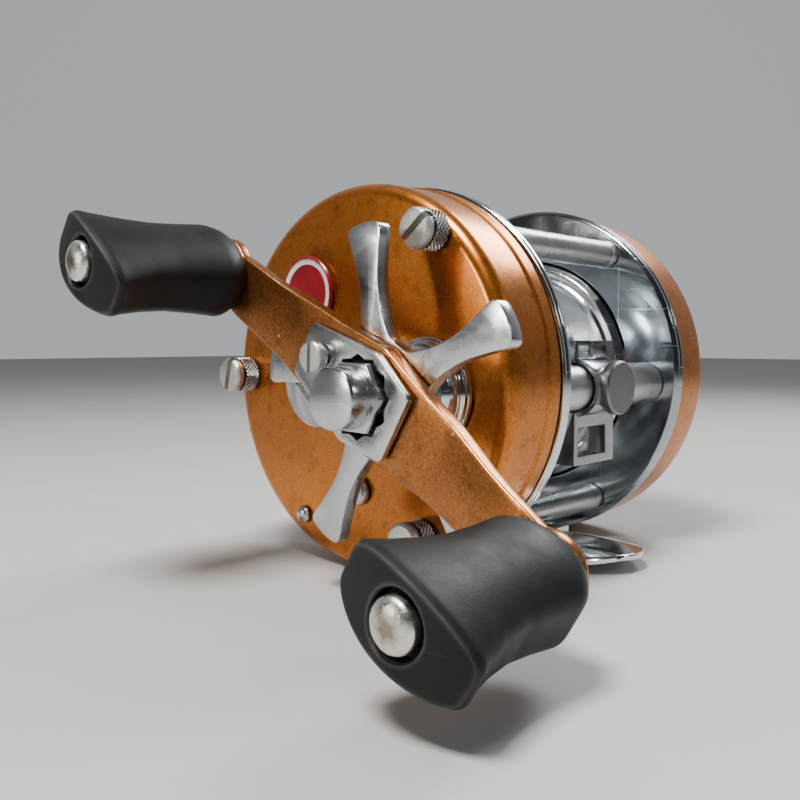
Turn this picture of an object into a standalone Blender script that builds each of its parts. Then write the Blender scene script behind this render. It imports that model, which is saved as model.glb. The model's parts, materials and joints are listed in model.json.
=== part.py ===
"""Round baitcasting reel with a level wind, a star drag and a double-knob handle.

Sizes below are in millimetres and the builders turn them into metres.
X is the spool's axis, towards the handle.  Y points forward, to the rod tip.  Z is up.
The origin is the middle of the reel foot's seat, the flat face that lies on the rod.
"""
import math

import bmesh
import bpy
from mathutils import Matrix

MM = 0.001
GAP = 0.3                       # running and seating gap between neighbouring solids

# Axes, as (y, z)
SPOOL_AXIS = (0.0, 24.6)
DRIVE_AXIS = (13.6, 23.25)
WORM_AXIS = (21.2, 23.3)

# Frame
PLATE_RADIUS = 26.5
PLATE_INNER_X = 14.3
PLATE_OUTER_X = 16.3
OPENING_RADIUS = 18.2
PILLAR_RADIUS = 2.15
PILLAR_CIRCLE = 23.4
REAR_PILLAR_CIRCLE = 22.8
FRONT_PILLAR_ANGLE = 52.0
BOTTOM_PILLAR_ANGLE = 58.0
PILLAR_BORE_START = 7.7
SCREW_HOLE = 1.5
WORM_HOLE = 1.9

# Side cups
RIM_RADIUS = 26.2
WALL_RADIUS = 25.9
CAVITY_RADIUS = 25.2
RIM_WIDTH = 2.2
CUP_FILLET = 1.8
RIGHT_FACE_X = 26.4
LEFT_FACE_X = 25.0
FACE_THICKNESS = 0.9
BUSH_HOLE = 3.4

# Foot
FOOT_HALF_LENGTH = 28.5
FOOT_HALF_WIDTH = 7.0
FOOT_FLAT = 2.6
FOOT_THICKNESS = 1.2
FOOT_DROP = 0.9
FOOT_TIP_START = 20.5
SADDLE_TOP = 2.3

# Gear train: tooth counts and modules
MAIN_TEETH = 45
PINION_TEETH = 12
SPOOL_MODULE = 2 * math.dist(DRIVE_AXIS, SPOOL_AXIS) / (MAIN_TEETH + PINION_TEETH)
DRIVE_COG_TEETH = 22
WORM_COG_TEETH = 16
COG_MODULE = 2 * math.dist(DRIVE_AXIS, WORM_AXIS) / (DRIVE_COG_TEETH + WORM_COG_TEETH)
COG_X = (16.7, 17.7)
BRIDGE_X = (18.0, 19.0)
RATCHET_X = (19.3, 19.9)
GEAR_X = (20.2, 22.0)
RATCHET_RADIUS = 4.6
SHAFT_RADIUS = 1.6

# Spool
SPOOL_RADIUS = 17.8
SPOOL_HALF_WIDTH = 15.2
ARBOR_RADIUS = 8.0
SPOOL_SHAFT_RADIUS = 1.1

# Level wind
TUBE_RADIUS = 3.1
TUBE_BORE = 2.5
WORM_RADIUS = 2.1
GUIDE_X = 1.3
GUIDE_HALF_WIDTH = 5.2
GUIDE_LOOP_Y = (-2.3, 0.7)       # the loops' back and front, from the worm's axis
GUIDE_TOP = 6.4                 # above the worm's axis
GUIDE_BOTTOM = -10.6
SLEEVE_RADIUS = 4.0
LEFT_POST = 2.2
RIGHT_POST = 0.9
BOSS_RADIUS = 3.7
BOSS_NECK_RADIUS = 2.9
BOSS_FACE_Y = 4.9               # ahead of the worm's axis

# Handle
STAR_X = (33.9, 35.7)
STAR_TIP_RADIUS = 20.2
STAR_ANGLE = 25.0
ARM_HUB_X = (36.0, 38.0)
FRONT_EYE_X = (38.1, 39.6)
REAR_EYE_X = (37.4, 38.9)
CRANK_START = 12.4
CRANK_END = 24.8
EYE_RADIUS = 4.35
ARM_WIDTHS = ((0.0, 6.45), (8.0, 5.2), (11.2, 4.9), (15.0, 4.4), (19.0, 4.05), (24.8, 3.9),
              (27.4, 3.6))
HANDLE_RADIUS = 29.8
HANDLE_ANGLE = -31.5
LOCK_X = (38.3, 39.2)
LOCK_WINDOW_RADIUS = 4.85
LOCK_SCREW_PLACE = (-7.45, 0.8)
NUT_RADIUS = 4.5
NUT_FLANGE_X = 40.0
NUT_BARREL_RADIUS = 3.6
NUT_END_X = 43.3
KNOB_LENGTH = 20.0
KNOB_DOME = 1.13                # how far the end face falls back at the reach below
KNOB_DOME_REACH = 7.0
PIN_RADIUS = 1.2
PIN_HEAD_RADIUS = 2.4
PIN_HEAD_SUNK = 1.7
PIN_HEAD_PROUD = 1.0
FRONT_KNOB_TURN = -30.0
REAR_KNOB_TURN = -38.0
# A knob's section at each fraction of its length: half length, half breadth at the
# ends and in the middle, and squareness.
KNOB_SECTIONS = (
    (0.0, 4.9, 3.0, 4.4, 3.5),
    (0.04, 5.5, 3.4, 4.95, 4.0),
    (0.15, 6.0, 3.55, 5.1, 5.0),
    (0.32, 5.8, 3.3, 4.85, 5.5),
    (0.5, 5.75, 3.1, 4.6, 6.0),
    (0.7, 6.3, 2.95, 4.45, 6.0),
    (0.88, 7.2, 2.8, 4.35, 6.5),
    (0.97, 7.75, 2.75, 4.3, 6.5),
    (1.0, 7.35, 2.4, 3.95, 6.5),
)

# Thumb screws and the tension cap
HEAD_RADIUS = 2.55
HEAD_HEIGHT = 4.0
SLOT_HALF_WIDTH = 0.55
CAP_RADIUS = 6.2
CAP_FRONT_X = 33.6


def polar(centre, radius, degrees):
    """A (y, z) point at a radius and an angle from a centre."""
    angle = math.radians(degrees)
    return (centre[0] + radius * math.cos(angle), centre[1] + radius * math.sin(angle))


TOP_PILLAR = polar(SPOOL_AXIS, PILLAR_CIRCLE, FRONT_PILLAR_ANGLE)
REAR_PILLAR = polar(SPOOL_AXIS, REAR_PILLAR_CIRCLE, 180.0)
FRONT_FOOT_PILLAR = polar(SPOOL_AXIS, PILLAR_CIRCLE, -BOTTOM_PILLAR_ANGLE)
REAR_FOOT_PILLAR = polar(SPOOL_AXIS, PILLAR_CIRCLE, BOTTOM_PILLAR_ANGLE - 180.0)
SCREW_PLACES = {"top": TOP_PILLAR, "rear": REAR_PILLAR, "bottom": FRONT_FOOT_PILLAR}
PHILLIPS_PLACE = (1.0, 9.5)
DOG_PIVOT = (4.2, 10.4)
BADGE_PLACE = (-9.0, 36.3)
RIVET_PLACE = (-10.4, 4.7)

FINISHES = {                    # colour, metallic, roughness
    "bronze_paint": ((0.55, 0.22, 0.06), 0.75, 0.35),
    "copper_paint": ((0.50, 0.20, 0.07), 0.70, 0.40),
    "chrome": ((0.80, 0.81, 0.83), 1.0, 0.12),
    "satin_metal": ((0.62, 0.62, 0.62), 1.0, 0.35),
    "spool_alloy": ((0.75, 0.76, 0.78), 1.0, 0.25),
    "brass": ((0.72, 0.52, 0.22), 1.0, 0.30),
    "steel": ((0.55, 0.55, 0.56), 1.0, 0.35),
    "rubber": ((0.02, 0.02, 0.02), 0.0, 0.60),
    "fibre": ((0.12, 0.08, 0.05), 0.0, 0.80),
    "white_plastic": ((0.85, 0.84, 0.78), 0.0, 0.45),
    "badge_enamel": ((0.60, 0.03, 0.05), 0.0, 0.30),
}


# ---------------------------------------------------------------- builders

def finish(name):
    """The Principled material of that name, made once."""
    material = bpy.data.materials.get(name)
    if material is None:
        colour, metallic, roughness = FINISHES[name]
        material = bpy.data.materials.new(name)
        material.use_nodes = True
        shader = material.node_tree.nodes["Principled BSDF"]
        shader.inputs["Base Color"].default_value = (*colour, 1.0)
        shader.inputs["Metallic"].default_value = metallic
        shader.inputs["Roughness"].default_value = roughness
    return material


def place(bm, name, place_yz, slot, x=0.0):
    """Turn a bmesh in millimetres into an object whose origin is on its own axis."""
    bmesh.ops.recalc_face_normals(bm, faces=bm.faces)
    bmesh.ops.scale(bm, vec=(MM, MM, MM), verts=bm.verts)
    mesh = bpy.data.meshes.new(name)
    bm.to_mesh(mesh)
    bm.free()
    mesh.shade_smooth()
    mesh.set_sharp_from_angle(angle=math.radians(35))
    if slot:
        mesh.materials.append(finish(slot))
    obj = bpy.data.objects.new(name, mesh)
    obj.location = (x * MM, place_yz[0] * MM, place_yz[1] * MM)
    bpy.context.scene.collection.objects.link(obj)
    return obj


def hide(obj):
    """Keep a boolean's tool out of the render."""
    obj.hide_render = True
    obj.display_type = "WIRE"
    return obj


def add_turned(bm, profile, segments, centre=(0.0, 0.0)):
    """Add the closed (x, r) profile turned about the X axis; a point with r 0 is a pole."""
    rings = []
    for x, radius in profile:
        if radius == 0:
            rings.append([bm.verts.new((x, *centre))])
            continue
        points = (polar(centre, radius, 360.0 * i / segments) for i in range(segments))
        rings.append([bm.verts.new((x, y, z)) for y, z in points])
    for ring, following in zip(rings, rings[1:] + rings[:1]):
        for i in range(segments):
            quad = [ring[i % len(ring)], ring[(i + 1) % len(ring)],
                    following[(i + 1) % len(following)], following[i % len(following)]]
            corners = list(dict.fromkeys(quad))
            if len(corners) > 2:
                bm.faces.new(corners)


def turned(name, profile, axis, slot, segments=32):
    """A solid of revolution about the line through (y, z) along X."""
    bm = bmesh.new()
    add_turned(bm, profile, segments)
    return place(bm, name, axis, slot)


def tube_profile(x0, x1, outer, inner):
    """The (x, r) profile of a plain ring."""
    return [(x0, inner), (x0, outer), (x1, outer), (x1, inner)]


def add_prism(bm, outline, x0, x1):
    """Add the (y, z) outline extruded along X."""
    low = [bm.verts.new((x0, y, z)) for y, z in outline]
    high = [bm.verts.new((x1, y, z)) for y, z in outline]
    bm.faces.new(low)
    bm.faces.new(high)
    for i in range(len(outline)):
        j = (i + 1) % len(outline)
        bm.faces.new((low[i], low[j], high[j], high[i]))


def prism(name, outline, x_range, axis, slot):
    """A flat plate: an outline about the axis, extruded along X."""
    bm = bmesh.new()
    add_prism(bm, outline, *x_range)
    return place(bm, name, axis, slot)


def drum(centre, radius, x0, x1, segments=20):
    """A cutter's cylinder along X, as arguments for cut."""
    return ("drum", centre, radius, x0, x1, segments)


def block(low, high):
    """A cutter's box from its two corners, as arguments for cut."""
    return ("block", low, high)


def add_block(bm, low, high):
    """Add an axis-aligned box."""
    size = [b - a for a, b in zip(low, high)]
    middle = [(a + b) / 2 for a, b in zip(low, high)]
    made = bmesh.ops.create_cube(bm, size=1.0)["verts"]
    bmesh.ops.scale(bm, vec=size, verts=made)
    bmesh.ops.translate(bm, vec=middle, verts=made)


def cut(obj, shapes, operation="DIFFERENCE"):
    """Cut separate cylinders and boxes, in the reel's frame, out of a solid."""
    bm = bmesh.new()
    for kind, *details in shapes:
        if kind == "drum":
            centre, radius, x0, x1, segments = details
            profile = [(x0, 0), (x0, radius), (x1, radius), (x1, 0)]
            add_turned(bm, profile, segments, centre)
        else:
            add_block(bm, *details)
    cutter = hide(place(bm, obj.name + "_cutter", (0.0, 0.0), None))
    modifier = obj.modifiers.new("holes", "BOOLEAN")
    modifier.operation = operation
    modifier.object = cutter
    return obj


def gear_outline(teeth, module, phase=0.0):
    """Trapezoid teeth with backlash: root and tip flats joined by straight flanks."""
    root = module * (teeth / 2 - 1.2)
    tip = module * (teeth / 2 + 0.85)
    pitch = 360.0 / teeth
    points = []
    for tooth in range(teeth):
        middle = phase + tooth * pitch
        for radius, offset in ((root, -0.30), (tip, -0.11), (tip, 0.11), (root, 0.30)):
            points.append(polar((0, 0), radius, middle + offset * pitch))
    return points


def mesh_phase(driver, driven, driver_teeth, driven_teeth, driver_phase=0.0):
    """The driven gear's phase that puts a gap where the driver has a tooth."""
    line = math.degrees(math.atan2(driven[1] - driver[1], driven[0] - driver[0]))
    driver_pitch = 360.0 / driver_teeth
    driven_pitch = 360.0 / driven_teeth
    past_tooth = (line - driver_phase) / driver_pitch
    return line + 180.0 + driven_pitch * (0.5 + past_tooth)


def arc(centre, radius, start, end, steps):
    """Points along an arc, both ends included."""
    return [polar(centre, radius, start + (end - start) * i / steps) for i in range(steps + 1)]


# ---------------------------------------------------------------- frame

def frame_plates():
    """The two round plates, open in the middle for the spool."""
    screw_drums = [drum(at, SCREW_HOLE, 12, 18, 12) for at in SCREW_PLACES.values()]
    right = turned("frame_plate_right",
                   tube_profile(PLATE_INNER_X, PLATE_OUTER_X, PLATE_RADIUS, OPENING_RADIUS),
                   SPOOL_AXIS, "chrome", 40)
    cut(right, screw_drums + [drum(WORM_AXIS, WORM_HOLE, 12, 18, 16)])
    left = turned("frame_plate_left",
                  tube_profile(-PLATE_OUTER_X, -PLATE_INNER_X, PLATE_RADIUS, OPENING_RADIUS),
                  SPOOL_AXIS, "chrome", 40)
    cut(left, [drum(WORM_AXIS, WORM_HOLE, -18, -12, 16)])


def pillars():
    """Four bars that hold the plates apart; three are bored for the thumb screws."""
    end = PLATE_INNER_X - GAP
    bored = [(-end, 0), (-end, PILLAR_RADIUS), (end, PILLAR_RADIUS),
             (end, SCREW_HOLE), (PILLAR_BORE_START, SCREW_HOLE), (PILLAR_BORE_START, 0)]
    plain = [(-end, 0), (-end, PILLAR_RADIUS), (end, PILLAR_RADIUS), (end, 0)]
    turned("pillar_top", bored, TOP_PILLAR, "satin_metal", 20)
    turned("pillar_rear", bored, REAR_PILLAR, "satin_metal", 20)
    turned("pillar_foot_front", bored, FRONT_FOOT_PILLAR, "satin_metal", 20)
    turned("pillar_foot_rear", plain, REAR_FOOT_PILLAR, "satin_metal", 20)


def foot_width(y):
    """Half the foot's width at y: parallel sides and round tips."""
    past = max(0.0, abs(y) - FOOT_TIP_START) / (FOOT_HALF_LENGTH - FOOT_TIP_START)
    return FOOT_HALF_WIDTH * math.sqrt(max(0.0, 1.0 - past ** 2))


def foot_height(x):
    """The underside's height at x: flat in the middle, then drooping to the edge."""
    past = max(0.0, abs(x) - FOOT_FLAT) / (FOOT_HALF_WIDTH - FOOT_FLAT)
    return -FOOT_DROP * past ** 1.6


def foot():
    """The arched foot, the saddle on it and the two rivets into the lower pillars."""
    spread = (-1.0, -0.75, -0.371, 0.371, 0.75, 1.0)
    half = [0.0, 8.0, 14.0, FOOT_TIP_START, 23.5, 26.0, 27.6, 28.35]
    stations = [-y for y in reversed(half[1:])] + half
    bm = bmesh.new()
    loops = []
    for y in stations:
        xs = [s * foot_width(y) for s in spread]
        under = [bm.verts.new((x, y, foot_height(x))) for x in xs]
        over = [bm.verts.new((x, y, foot_height(x) + FOOT_THICKNESS)) for x in reversed(xs)]
        loops.append(under + over)
    bm.faces.new(loops[0])
    bm.faces.new(loops[-1])
    for loop, following in zip(loops, loops[1:]):
        for i in range(len(loop)):
            j = (i + 1) % len(loop)
            bm.faces.new((loop[i], loop[j], following[j], following[i]))
    plate = place(bm, "reel_foot", (0.0, 0.0), "chrome")

    bm = bmesh.new()
    low_z = FOOT_THICKNESS + 0.2
    add_block(bm, (-FOOT_FLAT, -15.5, low_z), (FOOT_FLAT, 15.5, SADDLE_TOP))
    saddle = place(bm, "foot_saddle", (0.0, 0.0), "chrome")

    for name, pillar in (("foot_rivet_front", FRONT_FOOT_PILLAR),
                         ("foot_rivet_rear", REAR_FOOT_PILLAR)):
        y = pillar[0]
        upright(name, (0.0, y), 1.2, 0.1, SADDLE_TOP, "satin_metal", 12)
        for target in (plate, saddle):
            bore = upright(name + "_bore_" + target.name, (0.0, y), 1.5, -3.0, 5.0, None, 12)
            target.modifiers.new("rivet hole", "BOOLEAN").object = hide(bore)


def upright(name, place_xy, radius, z0, z1, slot, segments):
    """A cylinder that stands along Z."""
    bm = bmesh.new()
    made = bmesh.ops.create_cone(bm, cap_ends=True, segments=segments,
                                 radius1=radius, radius2=radius, depth=z1 - z0)["verts"]
    bmesh.ops.translate(bm, vec=(0, place_xy[1], (z0 + z1) / 2), verts=made)
    return place(bm, name, (0.0, 0.0), slot, x=place_xy[0])


# ---------------------------------------------------------------- side cups

def cup_profile(side, face_x):
    """A cup's (x, r) profile: rim flange, wall, rounded edge, flat face and cavity."""
    seat = PLATE_OUTER_X + GAP
    corner = [(face_x - CUP_FILLET + CUP_FILLET * math.sin(math.radians(a)),
               WALL_RADIUS - CUP_FILLET + CUP_FILLET * math.cos(math.radians(a)))
              for a in (0, 30, 60, 90)]
    outside = [(seat, CAVITY_RADIUS), (seat, RIM_RADIUS), (seat + RIM_WIDTH, RIM_RADIUS),
               (seat + RIM_WIDTH, WALL_RADIUS)] + corner
    ceiling = face_x - FACE_THICKNESS
    inside = [(face_x, BUSH_HOLE), (ceiling, BUSH_HOLE), (ceiling, CAVITY_RADIUS - 1.2),
              (ceiling - 1.2, CAVITY_RADIUS)]
    return [(side * x, radius) for x, radius in outside + inside]


def side_cups():
    """The painted covers of the gear side and of the brake side."""
    right = turned("side_cup_right", cup_profile(1, RIGHT_FACE_X), SPOOL_AXIS,
                   "bronze_paint", 40)
    holes = [drum(at, SCREW_HOLE, 24, 28, 12) for at in SCREW_PLACES.values()]
    holes.append(drum(DRIVE_AXIS, 3.2, 24, 28, 20))
    holes.append(drum(PHILLIPS_PLACE, 1.2, 24, 28, 12))
    holes.append(block((18.9, -27.5, 11.6), (23.1, -20.5, 20.4)))
    cut(right, holes)

    left = turned("side_cup_left", cup_profile(-1, LEFT_FACE_X), SPOOL_AXIS,
                  "bronze_paint", 40)
    cut(left, [block((-26.5, 12.4, 20.0), (-23.5, 15.6, 28.6))])


def cup_trim():
    """Badge, dome rivet, Phillips screw and the left-hand screws."""
    front = RIGHT_FACE_X + GAP
    turned("badge_disc", [(front, 0), (front, 5.2), (front + 0.4, 5.2), (front + 0.55, 4.9),
                          (front + 0.4, 4.5), (front + 0.4, 0)],
           BADGE_PLACE, "badge_enamel", 24)
    turned("dome_rivet", [(front, 0), (front, 1.25), (front + 0.35, 1.1),
                          (front + 0.65, 0.65), (front + 0.75, 0)],
           RIVET_PLACE, "satin_metal", 12)
    turned("phillips_screw", [(19.3, 0), (19.3, 0.9), (front, 0.9), (front, 2.0),
                              (front + 0.5, 1.9), (front + 1.0, 1.2), (front + 1.15, 0)],
           PHILLIPS_PLACE, "satin_metal", 16)
    back = -LEFT_FACE_X - GAP
    for number, degrees in enumerate((90.0, 210.0, 330.0), start=1):
        head = turned(f"left_screw_{number}",
                      [(back, 0), (back, 2.2), (back - 0.7, 2.2), (back - 1.1, 1.7),
                       (back - 1.1, 0)],
                      polar(SPOOL_AXIS, 21.3, degrees), "satin_metal", 16)
        y, z = polar(SPOOL_AXIS, 21.3, degrees)
        cut(head, [block((back - 2, y - 3, z - 0.3), (back - 0.6, y + 3, z + 0.3))])


def bushes():
    """Bearing carriers in the cups, their ball bearings and the outer left cap."""
    carrier = [(23.7, 1.5), (23.7, 3.1), (29.6, 3.1), (29.6, 1.5)]
    turned("bearing_carrier_right", carrier, SPOOL_AXIS, "brass", 24)
    turned("spool_bearing_right", tube_profile(23.75 - GAP - 0.9, 23.7 - GAP, 3.1, 1.4),
           SPOOL_AXIS, "steel", 24)
    cap = -LEFT_FACE_X - GAP
    turned("bearing_cap_left",
           [(-21.6, 1.4), (-21.6, 3.1), (cap, 3.1), (cap, 5.6), (cap - 2.2, 5.4),
            (cap - 2.8, 4.6), (cap - 2.8, 0), (-24.2, 0), (-24.2, 1.4)],
           SPOOL_AXIS, "chrome", 28)
    turned("spool_bearing_left", tube_profile(-21.3, -20.4, 3.1, 1.4),
           SPOOL_AXIS, "steel", 24)


# ---------------------------------------------------------------- inside the gear cup

def bridge():
    """The gear bridge plate, which carries the drive shaft, and the pinion yoke."""
    plate = turned("gear_bridge_plate",
                   [(BRIDGE_X[0], 0), (BRIDGE_X[0], 24.2), (BRIDGE_X[1], 24.2), (BRIDGE_X[1], 0)],
                   SPOOL_AXIS, "steel", 32)
    holes = [drum(at, SCREW_HOLE + 0.3, 17, 20, 12) for at in SCREW_PLACES.values()]
    holes.append(drum(SPOOL_AXIS, 4.0, 17, 20, 16))
    holes.append(drum(DRIVE_AXIS, SHAFT_RADIUS + GAP, 17, 20, 16))
    holes.append(block((17, -26, 10.0), (20, -17.5, 21.0)))
    cut(plate, holes)

    yoke = prism("pinion_yoke", [(-14.0, 4.5), (-6.0, 6.0), (3.6, 4.2), (3.6, -4.2),
                                 (-6.0, -6.0), (-14.0, -2.5)],
                 (19.3, 19.8), SPOOL_AXIS, "steel")
    cut(yoke, [drum(SPOOL_AXIS, 2.6, 18, 21, 16)])

    cut(plate, [drum(DOG_PIVOT, 0.5, BRIDGE_X[1] - 0.5, 20.6, 10)], "UNION")
    aim = math.degrees(math.atan2(DRIVE_AXIS[1] - DOG_PIVOT[1], DRIVE_AXIS[0] - DOG_PIVOT[0]))
    reach = math.dist(DRIVE_AXIS, DOG_PIVOT) - RATCHET_RADIUS - 0.6
    outline = arc((0, 0), 1.5, aim + 90, aim + 270, 6)
    outline += [polar((0, 0), reach, aim - 1.0), polar((0, 0), reach - 0.3, aim + 3.0)]
    dog = prism("anti_reverse_dog", outline, RATCHET_X, DOG_PIVOT, "steel")
    cut(dog, [drum(DOG_PIVOT, 0.8, 18, 21, 10)])


def drive_train():
    """Drive shaft, ratchet, main gear, drag stack and the cog for the level wind."""
    turned("drive_shaft",
           [(16.7, 0), (16.7, SHAFT_RADIUS), (41.8, SHAFT_RADIUS), (41.8, 0)],
           DRIVE_AXIS, "steel", 20)
    bore = drum(DRIVE_AXIS, SHAFT_RADIUS + GAP, 15, 27, 20)
    ratchet = []
    for tooth in range(12):
        ratchet.append(polar((0, 0), RATCHET_RADIUS, tooth * 30.0))
        ratchet.append(polar((0, 0), RATCHET_RADIUS - 0.9, tooth * 30.0 + 3.0))
    cut(prism("ratchet_wheel", ratchet, RATCHET_X, DRIVE_AXIS, "steel"), [bore])
    main = prism("main_gear", gear_outline(MAIN_TEETH, SPOOL_MODULE), GEAR_X,
                 DRIVE_AXIS, "brass")
    cut(main, [bore])
    bushing = SHAFT_RADIUS + GAP
    turned("drag_washer", tube_profile(22.3, 22.9, 8.0, bushing), DRIVE_AXIS, "fibre", 20)
    turned("drag_pressure_plate", tube_profile(23.2, 24.1, 8.4, bushing),
           DRIVE_AXIS, "steel", 20)
    cut(prism("worm_drive_cog", gear_outline(DRIVE_COG_TEETH, COG_MODULE), COG_X,
              DRIVE_AXIS, "white_plastic"), [bore])


def pinion_and_shaft():
    """Spool shaft and the pinion that the main gear turns."""
    turned("spool_shaft",
           [(-23.8, 0), (-23.8, SPOOL_SHAFT_RADIUS), (26.8, SPOOL_SHAFT_RADIUS), (26.8, 0)],
           SPOOL_AXIS, "steel", 16)
    phase = mesh_phase(DRIVE_AXIS, SPOOL_AXIS, MAIN_TEETH, PINION_TEETH)
    pinion = prism("pinion_gear", gear_outline(PINION_TEETH, SPOOL_MODULE, phase),
                   (GEAR_X[0] - 0.1, GEAR_X[1] + 0.3), SPOOL_AXIS, "brass")
    cut(pinion, [drum(SPOOL_AXIS, SPOOL_SHAFT_RADIUS + GAP, 18, 24, 16)])


def clutch():
    """Free-spool push button in the back of the gear cup, with its slider inside."""
    bm = bmesh.new()
    add_block(bm, (19.3, -28.4, 14.8), (22.7, -20.2, 20.0))
    button = place(bm, "clutch_button", (0.0, 0.0), "chrome")
    cut(button, [block((19.9, -20.5, 15.2), (20.9, -15.2, 22.0))], "UNION")


# ---------------------------------------------------------------- spool and brake

def spool():
    """The line spool: arbor between two dished, ridged flanges with rolled rims."""
    edge = SPOOL_HALF_WIDTH
    half = [(9.2, ARBOR_RADIUS), (12.4, 9.8), (13.3, 13.0), (13.4, 14.8), (13.1, 15.3),
            (13.5, 15.8), (13.5, 16.4), (13.2, 16.9), (edge - 1.5, SPOOL_RADIUS - 0.4),
            (edge - 1.1, SPOOL_RADIUS), (edge - 0.4, SPOOL_RADIUS), (edge, SPOOL_RADIUS - 0.5),
            (edge - 0.6, 12.0), (13.2, 6.0), (13.2, 1.4)]
    mirrored = [(-x, radius) for x, radius in reversed(half)]
    turned("spool", half + mirrored, SPOOL_AXIS, "spool_alloy", 32)


def brake():
    """Centrifugal brake: a bar on the spool shaft, two blocks, and the fixed drum."""
    bar = turned("brake_bar", tube_profile(-18.4, -17.2, 2.6, 1.4), SPOOL_AXIS, "brass", 16)
    cut(bar, [block((-18.1, -8.6, 24.3), (-17.5, -2.2, 24.9)),
              block((-18.1, 2.2, 24.3), (-17.5, 8.6, 24.9))], "UNION")
    for name, side in (("brake_block_front", 1), ("brake_block_rear", -1)):
        bm = bmesh.new()
        inner, outer = sorted((side * 4.6, side * 7.6))
        add_block(bm, (-18.9, inner, 23.5), (-16.7, outer, 25.7))
        piece = place(bm, name, (0.0, 0.0), "fibre")
        low, high = sorted((side * 2.0, side * 9.2))
        cut(piece, [block((-18.4, low, 24.0), (-17.2, high, 25.2))])
    turned("brake_drum", tube_profile(-19.6, -16.9, 10.4, 9.6), SPOOL_AXIS, "steel", 24)
    click = prism("click_gear", gear_outline(12, 0.55), (-20.1, -19.2), SPOOL_AXIS, "brass")
    cut(click, [drum(SPOOL_AXIS, SPOOL_SHAFT_RADIUS + GAP, -21, -18, 16)])


def clicker():
    """Line-alarm button that slides in the brake cup's face, with its pawl arm inside."""
    bm = bmesh.new()
    add_block(bm, (-26.6, 12.7, 20.3), (-23.0, 15.3, 24.3))
    button = place(bm, "click_button", (0.0, 0.0), "chrome")
    cut(button, [block((-23.2, 12.9, 20.4), (-20.3, 15.1, 23.6))], "UNION")


# ---------------------------------------------------------------- level wind

def level_wind():
    """Slotted tube, reversing worm, cog, and the line guide with its pawl."""
    end = PLATE_INNER_X - GAP
    tube = turned("worm_tube", tube_profile(-end, end, TUBE_RADIUS, TUBE_BORE),
                  WORM_AXIS, "satin_metal", 24)
    y, z = WORM_AXIS
    cut(tube, [block((-12.5, y - 0.9, z - 4.0), (12.5, y + 0.9, z - 1.0))])
    shoulder = 13.6
    journal = WORM_HOLE - 0.4
    turned("worm_shaft",
           [(-15.9, 0), (-15.9, journal), (-shoulder, journal), (-shoulder, WORM_RADIUS),
            (shoulder, WORM_RADIUS), (shoulder, journal), (17.6, journal), (17.6, 0)],
           WORM_AXIS, "steel", 20)
    phase = mesh_phase(DRIVE_AXIS, WORM_AXIS, DRIVE_COG_TEETH, WORM_COG_TEETH)
    cog = prism("worm_cog", gear_outline(WORM_COG_TEETH, COG_MODULE, phase), COG_X,
                WORM_AXIS, "white_plastic")
    cut(cog, [drum(WORM_AXIS, journal + GAP, 15, 19, 16)])
    line_guide()


def line_guide():
    """Carriage on the tube: sleeve, front boss and the open loops above and below."""
    y, z = WORM_AXIS
    low_x = GUIDE_X - GUIDE_HALF_WIDTH
    high_x = GUIDE_X + GUIDE_HALF_WIDTH
    top = z + GUIDE_TOP
    bottom = z + GUIDE_BOTTOM
    bm = bmesh.new()
    back, front = (y + offset for offset in GUIDE_LOOP_Y)
    add_block(bm, (low_x, back, bottom), (high_x, front, top))
    guide = place(bm, "line_guide", (0.0, 0.0), "chrome")
    left = low_x + LEFT_POST
    right = high_x - RIGHT_POST
    cut(guide, [block((left, y - 3, z + 3.6), (right, y + 3, top - 0.7)),
                block((left, y - 3, bottom + 1.2), (right, y + 3, z - 5.6))])
    cut(guide, [drum(WORM_AXIS, SLEEVE_RADIUS, GUIDE_X - 4.4, GUIDE_X + 4.4, 24)], "UNION")
    bm = bmesh.new()
    face = BOSS_FACE_Y
    add_turned(bm, [(1.1, 0), (1.1, BOSS_NECK_RADIUS), (face - 1.2, BOSS_RADIUS),
                    (face, BOSS_RADIUS), (face, 0)], 24)
    bmesh.ops.rotate(bm, verts=bm.verts, matrix=Matrix.Rotation(math.radians(90), 3, "Z"))
    bmesh.ops.translate(bm, vec=(GUIDE_X, y, z), verts=bm.verts)
    boss = guide.modifiers.new("boss", "BOOLEAN")
    boss.operation = "UNION"
    boss.object = hide(place(bm, "line_guide_boss", (0.0, 0.0), None))
    upright("guide_pawl", (GUIDE_X, y), 0.6, z - 5.4, z - WORM_RADIUS - GAP, "brass", 10)
    bore = upright("guide_pawl_bore", (GUIDE_X, y), 0.93, z - 6.1, z - 2.0, None, 12)
    guide.modifiers.new("pawl bore", "BOOLEAN").object = hide(bore)
    cut(guide, [drum(WORM_AXIS, TUBE_RADIUS + GAP, low_x - 2, high_x + 2, 24)])


# ---------------------------------------------------------------- outside right

def thumb_screws():
    """Three slotted, knurled screws that hold the gear cup to the frame."""
    seat = RIGHT_FACE_X + GAP
    tip = PILLAR_BORE_START + 0.6
    for name, at in SCREW_PLACES.items():
        top = seat + HEAD_HEIGHT
        screw = turned("thumb_screw_" + name,
                       [(tip, 0), (tip, 1.2), (seat, 1.2), (seat, HEAD_RADIUS),
                        (top - 1.6, HEAD_RADIUS), (top - 1.6, HEAD_RADIUS - 0.4),
                        (top - 1.2, HEAD_RADIUS - 0.4), (top - 1.2, HEAD_RADIUS),
                        (top - 0.3, HEAD_RADIUS), (top, HEAD_RADIUS - 0.3), (top, 0)],
                       at, "satin_metal", 16)
        y, z = at
        cut(screw, [block((top - 0.8, y - 4, z - SLOT_HALF_WIDTH),
                          (top + 1, y + 4, z + SLOT_HALF_WIDTH))])


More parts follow.
